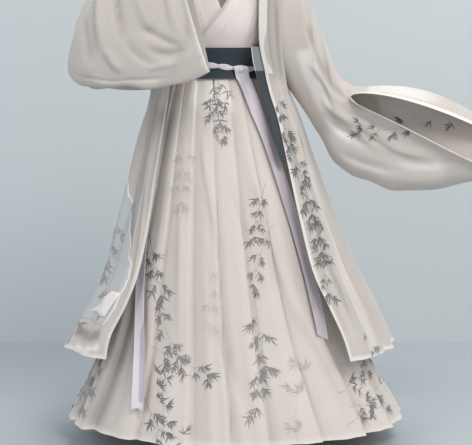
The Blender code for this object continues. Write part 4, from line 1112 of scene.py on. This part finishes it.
def makeWideSleeve(label, side, rows, creases, strokes, look):
    turns = fullTurn(look["count"])
    loop = armholeLoop(robeLine, robeUnderarm, robeTip, turns, side, solidWall["robe"])
    positions = rowRange(0, len(rows) - 1, look["step"])

    def line(angles, position):
        return ovalSection(rows, position, angles)

    grid = sleeveGrid(loop, lambda position: line(turns, position), positions, look)
    seamWave(grid, turns, positions, len(grid) - len(positions), look)
    flip = outwardFlip(grid)
    sign = -1.0 if flip else 1.0
    grid, dark = pressCreases(grid, creaseLines(line, creases), closed=True, sign=sign)
    paint = paintLightAndShade(grid, creaseLines(line, strokes), closed=True)
    _, along = arcLengths(grid, False)
    hem = 1 - ramp(along[-1:] - along, look["edge"] * 0.8, look["edge"] * 1.3)
    name, node = "robeSleeve" + label, "robe_sleeve_" + label.lower()
    shade = (dark * look["shade" + label] + paint).clip(0, 1)
    # hem takes the mouth's edge and painted light; shade takes painted shade from creases and strokes
    piece = makeShell(name, grid, shellWall["robe"], "robe", node, node + "_end", closed=True, flip=flip,
                      hem=np.maximum(hem, -paint), shade=shade)
    back = int(np.searchsorted(-(along[-1, 0] - along[:, 0]), -look["hemWidth"]))
    addSeams("robe", grid, rows=(back,), closed=True, sign=sign)
    inner = grid[back:] - gridNormals(grid, True)[back:] * sign * (shellWall["robe"] + look["hemGap"])
    # the right sleeve's inner hem band gets painted shade, deep in its mouth
    piece = makeShell(name + "Hem", inner, shellWall["hem"], "robe", closed=True, flip=flip, hem=0.3,
                      shade=0.5 if side < 0 else 0.0)


def makeTopSleeve(label, side, rows, look):
    turns = fullTurn(look["innerCount"])
    loop = armholeLoop(topLine, topUnderarm, topTip, turns, side, solidWall["top"])
    up = np.array([side, 0, 0.4])
    positions = rowRange(0, len(rows) - 1, look["innerStep"])
    grid = sleeveGrid(loop, lambda position: armSection(rows, position, turns, up), positions, look)
    piece = makeShell("topSleeve" + label, grid, shellWall["top"], "top", "top_sleeve_" + label.lower(),
                      closed=True, flip=outwardFlip(grid))


makeWideSleeve("Right", -1, rightSleeve, rightCreases, rightStrokes, sleeveLook)
makeWideSleeve("Left", 1, leftSleeve, leftCreases, leftStrokes, sleeveLook)
makeTopSleeve("Right", -1, rightArm, sleeveLook)
makeTopSleeve("Left", 1, leftArm, sleeveLook)
print("sleeves made")


# ---- waistband, sash, tie and ribbons
waistLook = {"columns": 200, "bandHeights": (-0.352, -0.300), "sashHeights": (-0.372, -0.287),
             "flare": 0.0020, "bandRows": 8, "sashRows": 30, "rimRings": 240, "rimTurns": 8,
             "rimHeight": 0.0011, "rimDepth": 0.0013, "rimLift": 0.0008}
tieLook = {"level": -0.333, "dip": 0.013, "dipAngle": 36, "dipWidth": 34, "thick": 0.004, "knotAngle": 28,
           "knotProud": 0.0030, "twists": 11, "sway": 0.0032, "height": 0.0046, "depth": 0.0013,
           "uneven": 0.0007, "lift": 0.0021, "weave": 0.0008, "turns": 12, "knotRings": 40}
knotLoops = {    # tilt in degrees, half width, half depth, band width, band depth
    "knotCore": (14, 0.0080, 0.0036, 0.0062, 0.0026),
    "knotTurn": (-40, 0.0098, 0.0030, 0.0034, 0.0016),
}
bandLift = overRise + solidWall["top"] + seamGap + solidWall["collar"] + layerGap
sashLift = bandLift + solidWall["waistband"] + 2 * seamGap
tieLift = sashLift + solidWall["sash"] + 2 * seamGap
sashCreases = makeCreases([    # paths in degrees and heights
    ((-30, -0.309), (2, -0.314), (30, -0.311), 0.0045, -0.0006),
    ((10, -0.352), (34, -0.358), (58, -0.352), 0.0045, 0.0007),
    ((-60, -0.353), (-36, -0.36), (-12, -0.357), 0.004, -0.0006),
    ((110, -0.3), (140, -0.306), (170, -0.303), 0.0045, 0.0006),
    ((-150, -0.355), (-120, -0.35), (-96, -0.354), 0.0045, -0.0006),
])


def waistLine(angles, height, lift):
    row = rowAtHeight(topRows, "side", height)
    line = topLine(angles, row)
    away = topLine(np.asarray(angles, float) + 0.5, row) - topLine(np.asarray(angles, float) - 0.5, row)
    outward = np.stack([away[:, 1], -away[:, 0], 0 * away[:, 0]], axis=1)
    outward /= np.linalg.norm(outward, axis=1, keepdims=True)
    return line + outward * lift


def sashRise(height, look=waistLook):
    hem, edge = look["sashHeights"][0], look["bandHeights"][0]
    return sashLift + look["flare"] * max(0.0, (edge - height) / (edge - hem))


def tieHeight(angle, look=tieLook):
    return look["level"] - look["dip"] * bump(angle, look["dipAngle"], look["dipWidth"])


def makeWaist(look):
    angles = fullTurn(look["columns"])
    heights = np.linspace(*look["bandHeights"], look["bandRows"])
    grid = np.array([waistLine(angles, height, bandLift + solidWall["waistband"]) for height in heights])
    piece = makeShell("waistband", grid, shellWall["waistband"], "skirt", "skirt_waistband",
                      closed=True, hem=0.5)
    low, high = look["sashHeights"]
    heights = np.linspace(low, high, look["sashRows"])
    grid = np.array([waistLine(angles, height, sashRise(height) + solidWall["sash"]) for height in heights])

    def line(turns, height):
        return waistLine(turns, height, sashLift + solidWall["sash"])

    grid, _ = pressCreases(grid, creaseLines(line, sashCreases), closed=True)
    edge = np.minimum(heights - low, high - heights)[:, None]
    piece = makeShell("sashWrap", grid, shellWall["sash"], "sash", "sash", closed=True,
                      hem=1 - ramp(edge, 0.0015, 0.003))
    addSeams("sash", grid, rows=(2, -3), closed=True)
    middle = sashLift + solidWall["sash"] * 0.5
    rings = []    # a thin pale cord along the sash's upper edge
    for angle in fullTurn(look["rimRings"]):
        rings.append([waistLine([angle], high + look["rimLift"] + look["rimHeight"] * math.sin(turn),
                                middle + look["rimDepth"] * math.cos(turn))[0]
                      for turn in fullTurn(look["rimTurns"], 2 * math.pi)])
    closedTube("sashRim", np.array(rings), "tie")


def makeTie(look):    # two soft strands wound round each other
    for name, phase, nodes in (("tieStrandOne", 0.0, ["tie_band"]), ("tieStrandTwo", math.pi, [])):
        rings = []
        for angle in range(360):
            twist = math.radians(angle) * look["twists"] + phase
            sway = look["uneven"] * math.sin(math.radians(angle) * 5 + phase)
            ring = []
            for turn in fullTurn(look["turns"], 2 * math.pi):
                rise = look["sway"] * math.sin(twist) + look["height"] * math.sin(turn)
                out = look["lift"] + look["weave"] * math.cos(twist) + look["depth"] * math.cos(turn)
                ring.append(waistLine([angle], float(tieHeight(angle)) + (rise + sway), tieLift + out)[0])
            rings.append(ring)
        closedTube(name, np.array(rings), "tie", *nodes)


def makeKnot(look):
    angle = look["knotAngle"]
    middle = float(tieHeight(angle))
    back = waistLine([angle], middle, tieLift + look["thick"])[0]
    outward = waistLine([angle], middle, tieLift + look["thick"] + 0.01)[0] - back
    outward /= np.linalg.norm(outward)
    sideways = np.cross([0.0, 0.0, 1.0], outward)
    up = np.array([0.0, 0.0, 1.0])
    centre = back + outward * look["knotProud"]
    for name, (tilt, wide, deep, band, thick) in knotLoops.items():
        lean = math.radians(tilt)
        right = sideways * math.cos(lean) + up * math.sin(lean)
        rise = up * math.cos(lean) - sideways * math.sin(lean)
        rings = []
        for turn in fullTurn(look["knotRings"], 2 * math.pi):
            reach = right * math.cos(turn) * wide + outward * math.sin(turn) * deep
            away = right * math.cos(turn) + outward * math.sin(turn) * wide / deep
            away /= np.linalg.norm(away)
            swell = 1 + 0.15 * math.sin(3 * turn)
            rings.append([centre + reach + away * thick * math.cos(each)
                          + rise * band * math.sin(each) * swell
                          for each in fullTurn(look["turns"], 2 * math.pi)])
        closedTube(name, np.array(rings), "tie", *(["tie_knot"] if name == "knotCore" else []))


ribbonLook = {"rows": 150, "columns": 15, "clearance": 0.0012, "wave": 0.0016, "curl": 0.0012,
              "overTie": 0.0086, "overHeight": 0.013, "foldLift": 0.0015, "hem": 0.5}


def ribbonSpot(angle, height):
    onSash = waistLine([angle], height, sashRise(height) + solidWall["sash"] + 2 * seamGap)[0]
    lift = pleatDepth(height, skirtLook) + solidWall["skirt"] + ribbonLook["clearance"]
    share = float(ramp(-height, 0.374, 0.388))
    return onSash * (1 - share) + skirtLine([angle], height, lift)[0] * share


def ribbonGrid(route, width, look, low, high, lift, endSlant, ends=(0.0, 1.0)):
    grid = []
    positions = np.linspace((len(route) - 1) * ends[0], (len(route) - 1) * ends[1], look["rows"])
    for number, position in enumerate(positions):
        height, angle = float(blend(route, "z", position)), float(blend(route, "angle", position))
        centre = ribbonSpot(angle, height)
        across = ribbonSpot(angle + 1, height) - centre
        across /= np.linalg.norm(across)
        outward = np.cross(across, [0.0, 0.0, 1.0])
        outward /= np.linalg.norm(outward)
        done = number / (look["rows"] - 1)
        shares = np.linspace(low, high, look["columns"])
        free = float(ramp(done, 0.08, 0.3))
        over = look["overTie"] * math.exp(-((height - float(tieHeight(angle))) / look["overHeight"]) ** 2)
        if over > 0.0001:    # it comes out of the knot narrow
            shares = shares * (0.25 + 0.75 * float(ramp(done, 0.0, 0.025)))
        wave = look["wave"] * free * (1 + np.sin(done * 17 + shares * 1.6))
        wave = wave + look["curl"] * free * shares**2 * (1 + math.sin(done * 9))
        line = centre + np.outer(shares * width / 2, across) + np.outer(wave + lift + over, outward)
        line[:, 2] -= endSlant(shares) * float(ramp(done, 0.93, 1.0))
        grid.append(line)
    return np.array(grid)[::-1]


def makeRibbon(name, node, route, endSlant, fold, foldShade, width, look=ribbonLook):
    wall = solidWall["ribbon"]
    grid = ribbonGrid(route, width, look, -1.0, 1.0, wall, endSlant)
    hem = edgeBand(grid, ("start", "end"), 0.0015, 0.0028) * look["hem"]
    piece = makeShell(name, grid, shellWall["ribbon"], "tie", node, hem=hem)
    addSeams("tie", grid, columns=(1, -2))
    length = float(arcLengths(grid, False)[1][-1, 0])
    low, high, start, end = fold
    grid = ribbonGrid(route, width, look, low, high, wall + look["foldLift"], endSlant, (start, end))
    piece = makeShell(name + "Fold", grid, shellWall["fold"], "tie", shade=foldShade)
    length = float(arcLengths(grid, False)[1][-1, 0])


makeWaist(waistLook)
makeTie(tieLook)
makeKnot(tieLook)
makeRibbon("ribbonLeft", "ribbon_left", knotRibbon, lambda share: 0.012 + 0.010 * share,
           (-0.96, -0.2, 0.14, 0.93), 0.25, 0.041)
makeRibbon("ribbonRight", "ribbon_right", hipRibbon, lambda share: 0.004 * np.abs(share),
           (0.15, 0.98, 0.36, 0.97), 0.60, 0.036)
print("waist made")


# ---- stitches: small thread beads set along each seam by Geometry Nodes
threads = {"top": (0.60, 0.54, 0.51), "skirt": (0.58, 0.53, 0.48), "sash": (0.10, 0.12, 0.15),
           "tie": (0.60, 0.54, 0.59), "robe": (0.62, 0.57, 0.53)}


def threadFinish(name, colour):
    thread = Shader(name)
    fibre = thread.noise(900.0, 2.0)
    pale = tuple(min(1.0, each * 1.3) for each in colour)
    thread.set(Base_Color=thread.blendColours(fibre, colour, pale), Roughness=0.55 + fibre * 0.2,
               Sheen_Weight=0.3)
    return thread.material


def stitchTree(material, look):
    tree = bpy.data.node_groups.new("stitches", "GeometryNodeTree")
    named = {}
    kinds = {"Seam": "Geometry", "Spacing": "Float", "Length": "Float", "Thickness": "Float",
             "Uneven": "Float", "Seed": "Int"}
    for label, kind in kinds.items():
        socket = tree.interface.new_socket(label, in_out="INPUT", socket_type="NodeSocket" + kind)
        named[label] = socket.identifier
    tree.interface.new_socket("Stitches", in_out="OUTPUT", socket_type="NodeSocketGeometry")
    start = tree.nodes.new("NodeGroupInput").outputs

    def node(kind, sockets, **settings):
        made = tree.nodes.new(kind)
        for key, value in settings.items():
            setattr(made, key, value)
        for key, value in sockets.items():
            if isinstance(value, bpy.types.NodeSocket):
                tree.links.new(value, made.inputs[key])
            else:
                made.inputs[key].default_value = value
        return made.outputs

    curve = node("GeometryNodeMeshToCurve", {"Mesh": start["Seam"]})
    places = node("GeometryNodeCurveToPoints", {"Curve": curve["Curve"], "Length": start["Spacing"]},
                  mode="LENGTH")
    bead = node("GeometryNodeMeshUVSphere",
                {"Segments": look["segments"], "Rings": look["rings"], "Radius": 0.5})
    least = node("ShaderNodeMath", {0: 1.0, 1: start["Uneven"]}, operation="SUBTRACT")
    chance = node("FunctionNodeRandomValue", {2: least[0], 3: 1.0, 8: start["Seed"]}, data_type="FLOAT")
    length = node("ShaderNodeMath", {0: start["Length"], 1: chance[1]}, operation="MULTIPLY")
    scale = node("ShaderNodeCombineXYZ", {0: start["Thickness"], 1: start["Thickness"], 2: length[0]})
    beads = node("GeometryNodeInstanceOnPoints", {"Points": places["Points"], "Instance": bead["Mesh"],
                                                  "Rotation": places["Rotation"], "Scale": scale[0]})
    solid = node("GeometryNodeRealizeInstances", {"Geometry": beads[0]})
    done = node("GeometryNodeSetMaterial", {"Geometry": solid[0], "Material": material})
    tree.links.new(done[0], tree.nodes.new("NodeGroupOutput").inputs[0])
    return tree, named


def makeStitches(cloth, lines, look):
    points, edges = [], []
    for line, closed in lines:
        first = len(points)
        points.extend(line.tolist())
        edges.extend((first + k, first + k + 1) for k in range(len(line) - 1))
        if closed:
            edges.append((first + len(line) - 1, first))
    mesh = bpy.data.meshes.new("seams")
    mesh.from_pydata(points, edges, [])
    guide = addObject("seams", mesh)
    material = threadFinish(cloth + "Thread", threads[cloth])
    modifier = guide.modifiers.new("stitches", "NODES")
    modifier.node_group, named = stitchTree(material, look)
    for label, identifier in named.items():
        if label in look:
            modifier[identifier] = look[label]
    made = bpy.data.meshes.new_from_object(guide.evaluated_get(bpy.context.evaluated_depsgraph_get()))
    guide.modifiers.remove(modifier)
    bpy.data.objects.remove(guide)
    made.materials.clear()
    made.materials.append(material)
    wear(addObject("stitches_" + cloth, made), cloth)
    print("stitches", cloth, len(made.polygons))


for cloth, lines in seams.items():
    makeStitches(cloth, lines, stitchLook)


# ---- bamboo sprays in ink: brush strokes laid on a cloth from one side
printLook = {"proud": 0.0004, "spacing": 0.006, "reach": 1.6, "leaf": 0.036, "leafWidth": 0.0044,
             "twig": 0.0009, "stalk": 0.0046, "joint": 0.050, "twigs": 0.85, "leaves": 0.85, "stretch": 0.004}
sprays = {    # facing in degrees: 0 the front, 90 the wearer's left
    "skirt": [
        (0, -0.012, -0.374, 0.85, 178, "stalk", 0.3, 1), (0, -0.016, -0.4, 0.85, 130, "cluster", 0.4, 51),
        (0, 0.012, -0.388, 0.75, 215, "cluster", 0.44, 52), (0, 0.026, -0.404, 0.8, 165, "cluster", 0.4, 53),
        (0, -0.022, -0.432, 0.9, 160, "cluster", 0.22, 2), (0, 0, -0.44, 0.85, 200, "cluster", 0.28, 54),
        (0, 0.02, -0.436, 0.85, 185, "cluster", 0.28, 3), (0, -0.024, -0.47, 0.85, 172, "cluster", 0.32, 55),
        (0, 0.006, -0.482, 0.9, 190, "cluster", 0.34, 4), (0, -0.004, -0.515, 0.75, 180, "cluster", 0.5, 59),
        (0, -0.1, -0.52, 0.95, 176, "branch", 0.84, 5), (0, -0.03, -0.83, 0.95, 172, "branch", 0.9, 6),
        (0, 0.128, -0.655, 0.85, 196, "branch", 0.24, 7), (0, 0.15, -0.76, 0.8, 206, "branch", 0.26, 8),
        (0, -0.19, -0.8, 1, 168, "branch", 0.26, 9), (0, -0.175, -0.96, 0.9, 160, "branch", 0.3, 60),
        (0, -0.185, -1.09, 0.9, 110, "branch", 0.26, 10), (0, 0.098, -0.95, 1.1, 172, "branch", 0.34, 11),
        (0, 0.122, -1.05, 1, 186, "branch", 0.38, 12), (0, -0.205, -1.215, 1.05, 150, "branch", 0.2, 13),
        (0, -0.15, -1.33, 0.95, 8, "branch", 0.22, 14), (0, -0.09, -1.3, 0.85, 30, "cluster", 0.26, 61),
        (0, 0.215, -1.345, 1.1, 350, "branch", 0.74, 15), (20, 0.225, -1.215, 1, 78, "branch", 0.24, 16),
        (20, 0.235, -1.3, 1, 66, "branch", 0.2, 17), (20, 0.255, -1.255, 0.9, 92, "branch", 0.26, 62),
        (-30, -0.27, -1.31, 1.2, 12, "stalk", 0.34, 18), (-30, -0.31, -1.29, 1.1, 8, "stalk", 0.38, 19),
        (-30, -0.29, -1.13, 0.9, 176, "branch", 0.4, 63), (90, -0.06, -0.7, 1.3, 170, "branch", 0.3, 22),
        (90, 0.12, -1.15, 1.5, 200, "branch", 0.24, 23), (150, -0.14, -0.82, 1.3, 165, "branch", 0.28, 24),
        (180, 0.09, -0.62, 1.4, 185, "branch", 0.34, 25), (180, -0.16, -1.29, 1.6, 8, "stalk", 0.26, 26),
        (180, 0.17, -1.2, 1.3, 200, "branch", 0.7, 27), (220, 0.12, -0.96, 1.4, 168, "branch", 0.24, 28),
        (270, -0.03, -1.18, 1.5, 195, "branch", 0.22, 29), (270, 0.08, -0.78, 1.2, 172, "branch", 0.6, 30),
    ],
    "robeFrontLeft": [
        (20, 0.128, -0.4, 0.8, 186, "branch", 0.12, 31), (20, 0.132, -0.49, 0.85, 172, "branch", 0.14, 32),
        (20, 0.158, -0.56, 0.9, 168, "branch", 0.12, 33), (20, 0.18, -0.66, 0.95, 170, "branch", 0.16, 34),
        (20, 0.204, -0.76, 0.95, 176, "branch", 0.2, 35), (30, 0.225, -0.97, 0.9, 160, "branch", 0.3, 36),
    ],
    "robeTail": [
        (-30, -0.215, -0.74, 1, 186, "branch", 0.44, 37), (-35, -0.262, -0.82, 1.05, 184, "stalk", 0.4, 38),
        (-35, -0.232, -0.85, 0.8, 176, "branch", 0.54, 57), (-40, -0.3, -0.96, 1, 188, "branch", 0.38, 58),
    ],
    "robeFrontRight": [
        (-40, -0.27, -1.11, 1.1, 12, "stalk", 0.34, 39),
    ],
    "robeBack": [
        (90, 0.13, -0.76, 1.7, 176, "branch", 0.4, 40), (150, 0.08, -0.88, 1.8, 168, "branch", 0.38, 41),
        (180, -0.12, -1.08, 1.8, 6, "stalk", 0.32, 42), (180, -0.06, -1.09, 1.6, 14, "stalk", 0.4, 43),
        (180, 0.18, -0.56, 1.5, 190, "branch", 0.46, 44), (250, -0.1, -0.9, 1.7, 188, "branch", 0.36, 45),
    ],
    "robeSleeveLeft": [
        (0, 0.56, -0.487, 0.85, 250, "branch", 0.16, 46), (0, 0.66, -0.505, 0.75, 245, "cluster", 0.14, 47),
        (0, 0.6, -0.5, 0.7, 262, "cluster", 0.18, 48), (180, -0.56, -0.53, 1.4, 200, "branch", 0.44, 49),
    ],
    "robeSleeveRight": [
        (240, 0.06, -0.3, 1.2, 176, "branch", 0.46, 50),
    ],
}


def inkFinish():
    ink = Shader("inkPrint")
    brush = ink.noise(160.0, 3.0)
    tone = (ink.attribute("tone") + (brush - 0.5) * 0.35).clamped()
    ink.set(Base_Color=ink.blendColours(tone, (0.050, 0.058, 0.066), (0.560, 0.515, 0.480)),
            Roughness=0.72 + (brush - 0.5) * 0.15, Sheen_Weight=0.15)
    return ink.material


def leafStroke(start, heading, length, width, bend, tone):
    shares = np.linspace(0, 1, max(4, int(length / printLook["spacing"]) + 2))
    turns = math.radians(heading) + bend * shares
    steps = length / (len(shares) - 1) * np.stack([np.sin(turns), np.cos(turns)], axis=1)
    line = np.array(start) + np.concatenate([[[0.0, 0.0]], np.cumsum(steps[1:], axis=0)])
    return line, width * np.sin(math.pi * np.clip(shares, 0.03, 1) ** 0.62) ** 0.8, tone


def twigStroke(start, heading, length, width, bend, tone):
    line, _, _ = leafStroke(start, heading, length, width, bend, tone)
    return line, width * np.linspace(1.0, 0.5, len(line)), tone


def stepTo(spot, heading, length):
    return spot + length * np.array([math.sin(math.radians(heading)), math.cos(math.radians(heading))])


def leafBunch(spot, heading, size, tone, chance, spread=84):
    strokes = []
    count = chance.randint(3, 5)
    for number in range(count):
        aside = (number / (count - 1) - 0.5) * spread + chance.uniform(-12, 12)
        length = printLook["leaf"] * size * chance.uniform(0.55, 1.1) * (1 - abs(aside) / 300)
        width = printLook["leafWidth"] * size * chance.uniform(0.7, 1.15)
        bend = chance.uniform(-0.35, 0.35)
        paler = tone + chance.uniform(-0.08, 0.16)
        strokes.append(leafStroke(spot, heading + aside, length, width, bend, paler))
    return strokes


def sprayStrokes(spray, look):    # a stem with joints, twigs at each and leaves that droop from the twigs
    chance = random.Random(spray.seed)
    size, tone, heading = spray.size, spray.tone, float(spray.turn)
    spot = np.zeros(2)
    if spray.kind == "cluster":
        strokes = leafBunch(spot, heading, size, tone, chance, 150)
        end = stepTo(spot, heading + chance.uniform(-40, 40), look["joint"] * size * 0.25)
        return strokes + leafBunch(end, heading + 20, size * 0.85, tone + 0.05, chance)
    strokes = []
    thick = look["stalk"] if spray.kind == "stalk" else look["twig"]
    bend = chance.uniform(-0.25, 0.25)
    for number in range(4):
        length = look["joint"] * size * chance.uniform(0.75, 1.1)
        strokes.append(twigStroke(spot, heading, length * 0.94, thick * size * (1 - 0.14 * number),
                                  bend * 0.4, tone + 0.05 * number))
        spot = stepTo(spot, heading, length)
        heading += math.degrees(bend) * 0.6
        for side in (-1, 1):
            if chance.random() > look["twigs"]:
                continue
            aside = heading + side * chance.uniform(25, 60)
            reach = look["joint"] * size * chance.uniform(0.3, 0.7)
            strokes.append(twigStroke(spot, aside, reach, look["twig"] * size, side * 0.3, tone + 0.1))
            for share in (0.45, 0.75, 1.0):
                if chance.random() < look["leaves"]:
                    droop = aside * 0.55 + 81 + chance.uniform(-25, 25)
                    strokes += leafBunch(stepTo(spot, aside, reach * share), droop, size * 0.8, tone, chance)
    return strokes + leafBunch(spot, heading, size, tone, chance)


def strokeEdge(centre, aside, width, spray, right, inward, tree, look):    # its two points on the cloth
    edge = []
    for share in (-0.5, 0.5):
        flat = centre + aside * width * share
        start = right * (spray.across + flat[0]) - inward * look["reach"]
        start.z = spray.height + flat[1]
        spot, normal, _, _ = tree.ray_cast(start, inward)
        if spot is None:
            return None
        edge.append(spot + (-normal if normal.dot(inward) > 0 else normal) * look["proud"])
    return None if (edge[0] - edge[1]).length > width * 3 + look["stretch"] else edge


def printSprays(look):
    ink = inkFinish()
    for cloth, rows in sprays.items():
        data = bpy.data.objects["skirtOuter" if cloth == "skirt" else cloth].data
        tree = BVHTree.FromPolygons([tuple(vertex.co) for vertex in data.vertices],
                                    [tuple(face.vertices) for face in data.polygons])
        points, faces, tones = [], [], []
        for spray in makeRows(Spray, rows):
            turn = math.radians(spray.facing)
            right = Vector((math.cos(turn), math.sin(turn), 0.0))
            inward = Vector((-math.sin(turn), math.cos(turn), 0.0))
            for line, widths, tone in sprayStrokes(spray, look):
                along = np.gradient(line, axis=0)
                across = np.stack([-along[:, 1], along[:, 0]], axis=1)
                across /= np.linalg.norm(across, axis=1, keepdims=True)
                before = None
                for centre, aside, width in zip(line, across, widths):
                    edge = strokeEdge(centre, aside, width, spray, right, inward, tree, look)
                    if edge:
                        points.extend(tuple(spot) for spot in edge)
                        tones.extend([tone, tone])
                        last = len(points)
                        if before and (before[0] - edge[0]).length < look["spacing"] * 3:
                            faces.append((last - 4, last - 3, last - 1, last - 2))
                    before = edge
        mesh = bpy.data.meshes.new("bamboo_" + cloth)
        mesh.from_pydata(points, [], faces)
        stored = mesh.attributes.new("tone", "FLOAT", "POINT")
        stored.data.foreach_set("value", np.array(tones, np.float32))
        mesh.materials.append(ink)
        wear(addObject("bamboo_" + cloth, mesh), "skirt" if cloth == "skirt" else "robe")


printSprays(printLook)
print("prints made")


# ---- floor and wall
def makeStage(look):
    half, floor, wall = look["reach"], look["floorHeight"], look["wallAt"]
    sheets = {
        "floor": [(-half, -half, floor), (half, -half, floor), (half, wall, floor), (-half, wall, floor)],
        "wall": [(-half, wall, floor), (half, wall, floor), (half, wall, half), (-half, wall, half)],
    }
    for name, corners in sheets.items():
        colour = look[name + "Colour"]
        mesh = bpy.data.meshes.new(name)
        mesh.from_pydata(corners, [], [(0, 1, 2, 3)])
        paint = Shader(name + "Paint")
        cloud = paint.noise(look["cloudSize"], 1.0)
        fromBehind = paint.node("ShaderNodeNewGeometry", {}, {}, 6)
        tint = paint.blendColours(cloud, colour, [each * 1.04 for each in colour])
        paint.set(Base_Color=tint, Roughness=0.9, Alpha=1.0 - fromBehind)    # see-through from behind
        mesh.materials.append(paint.material)
        addObject(name, mesh)


makeStage(studio)
print("scene ready")
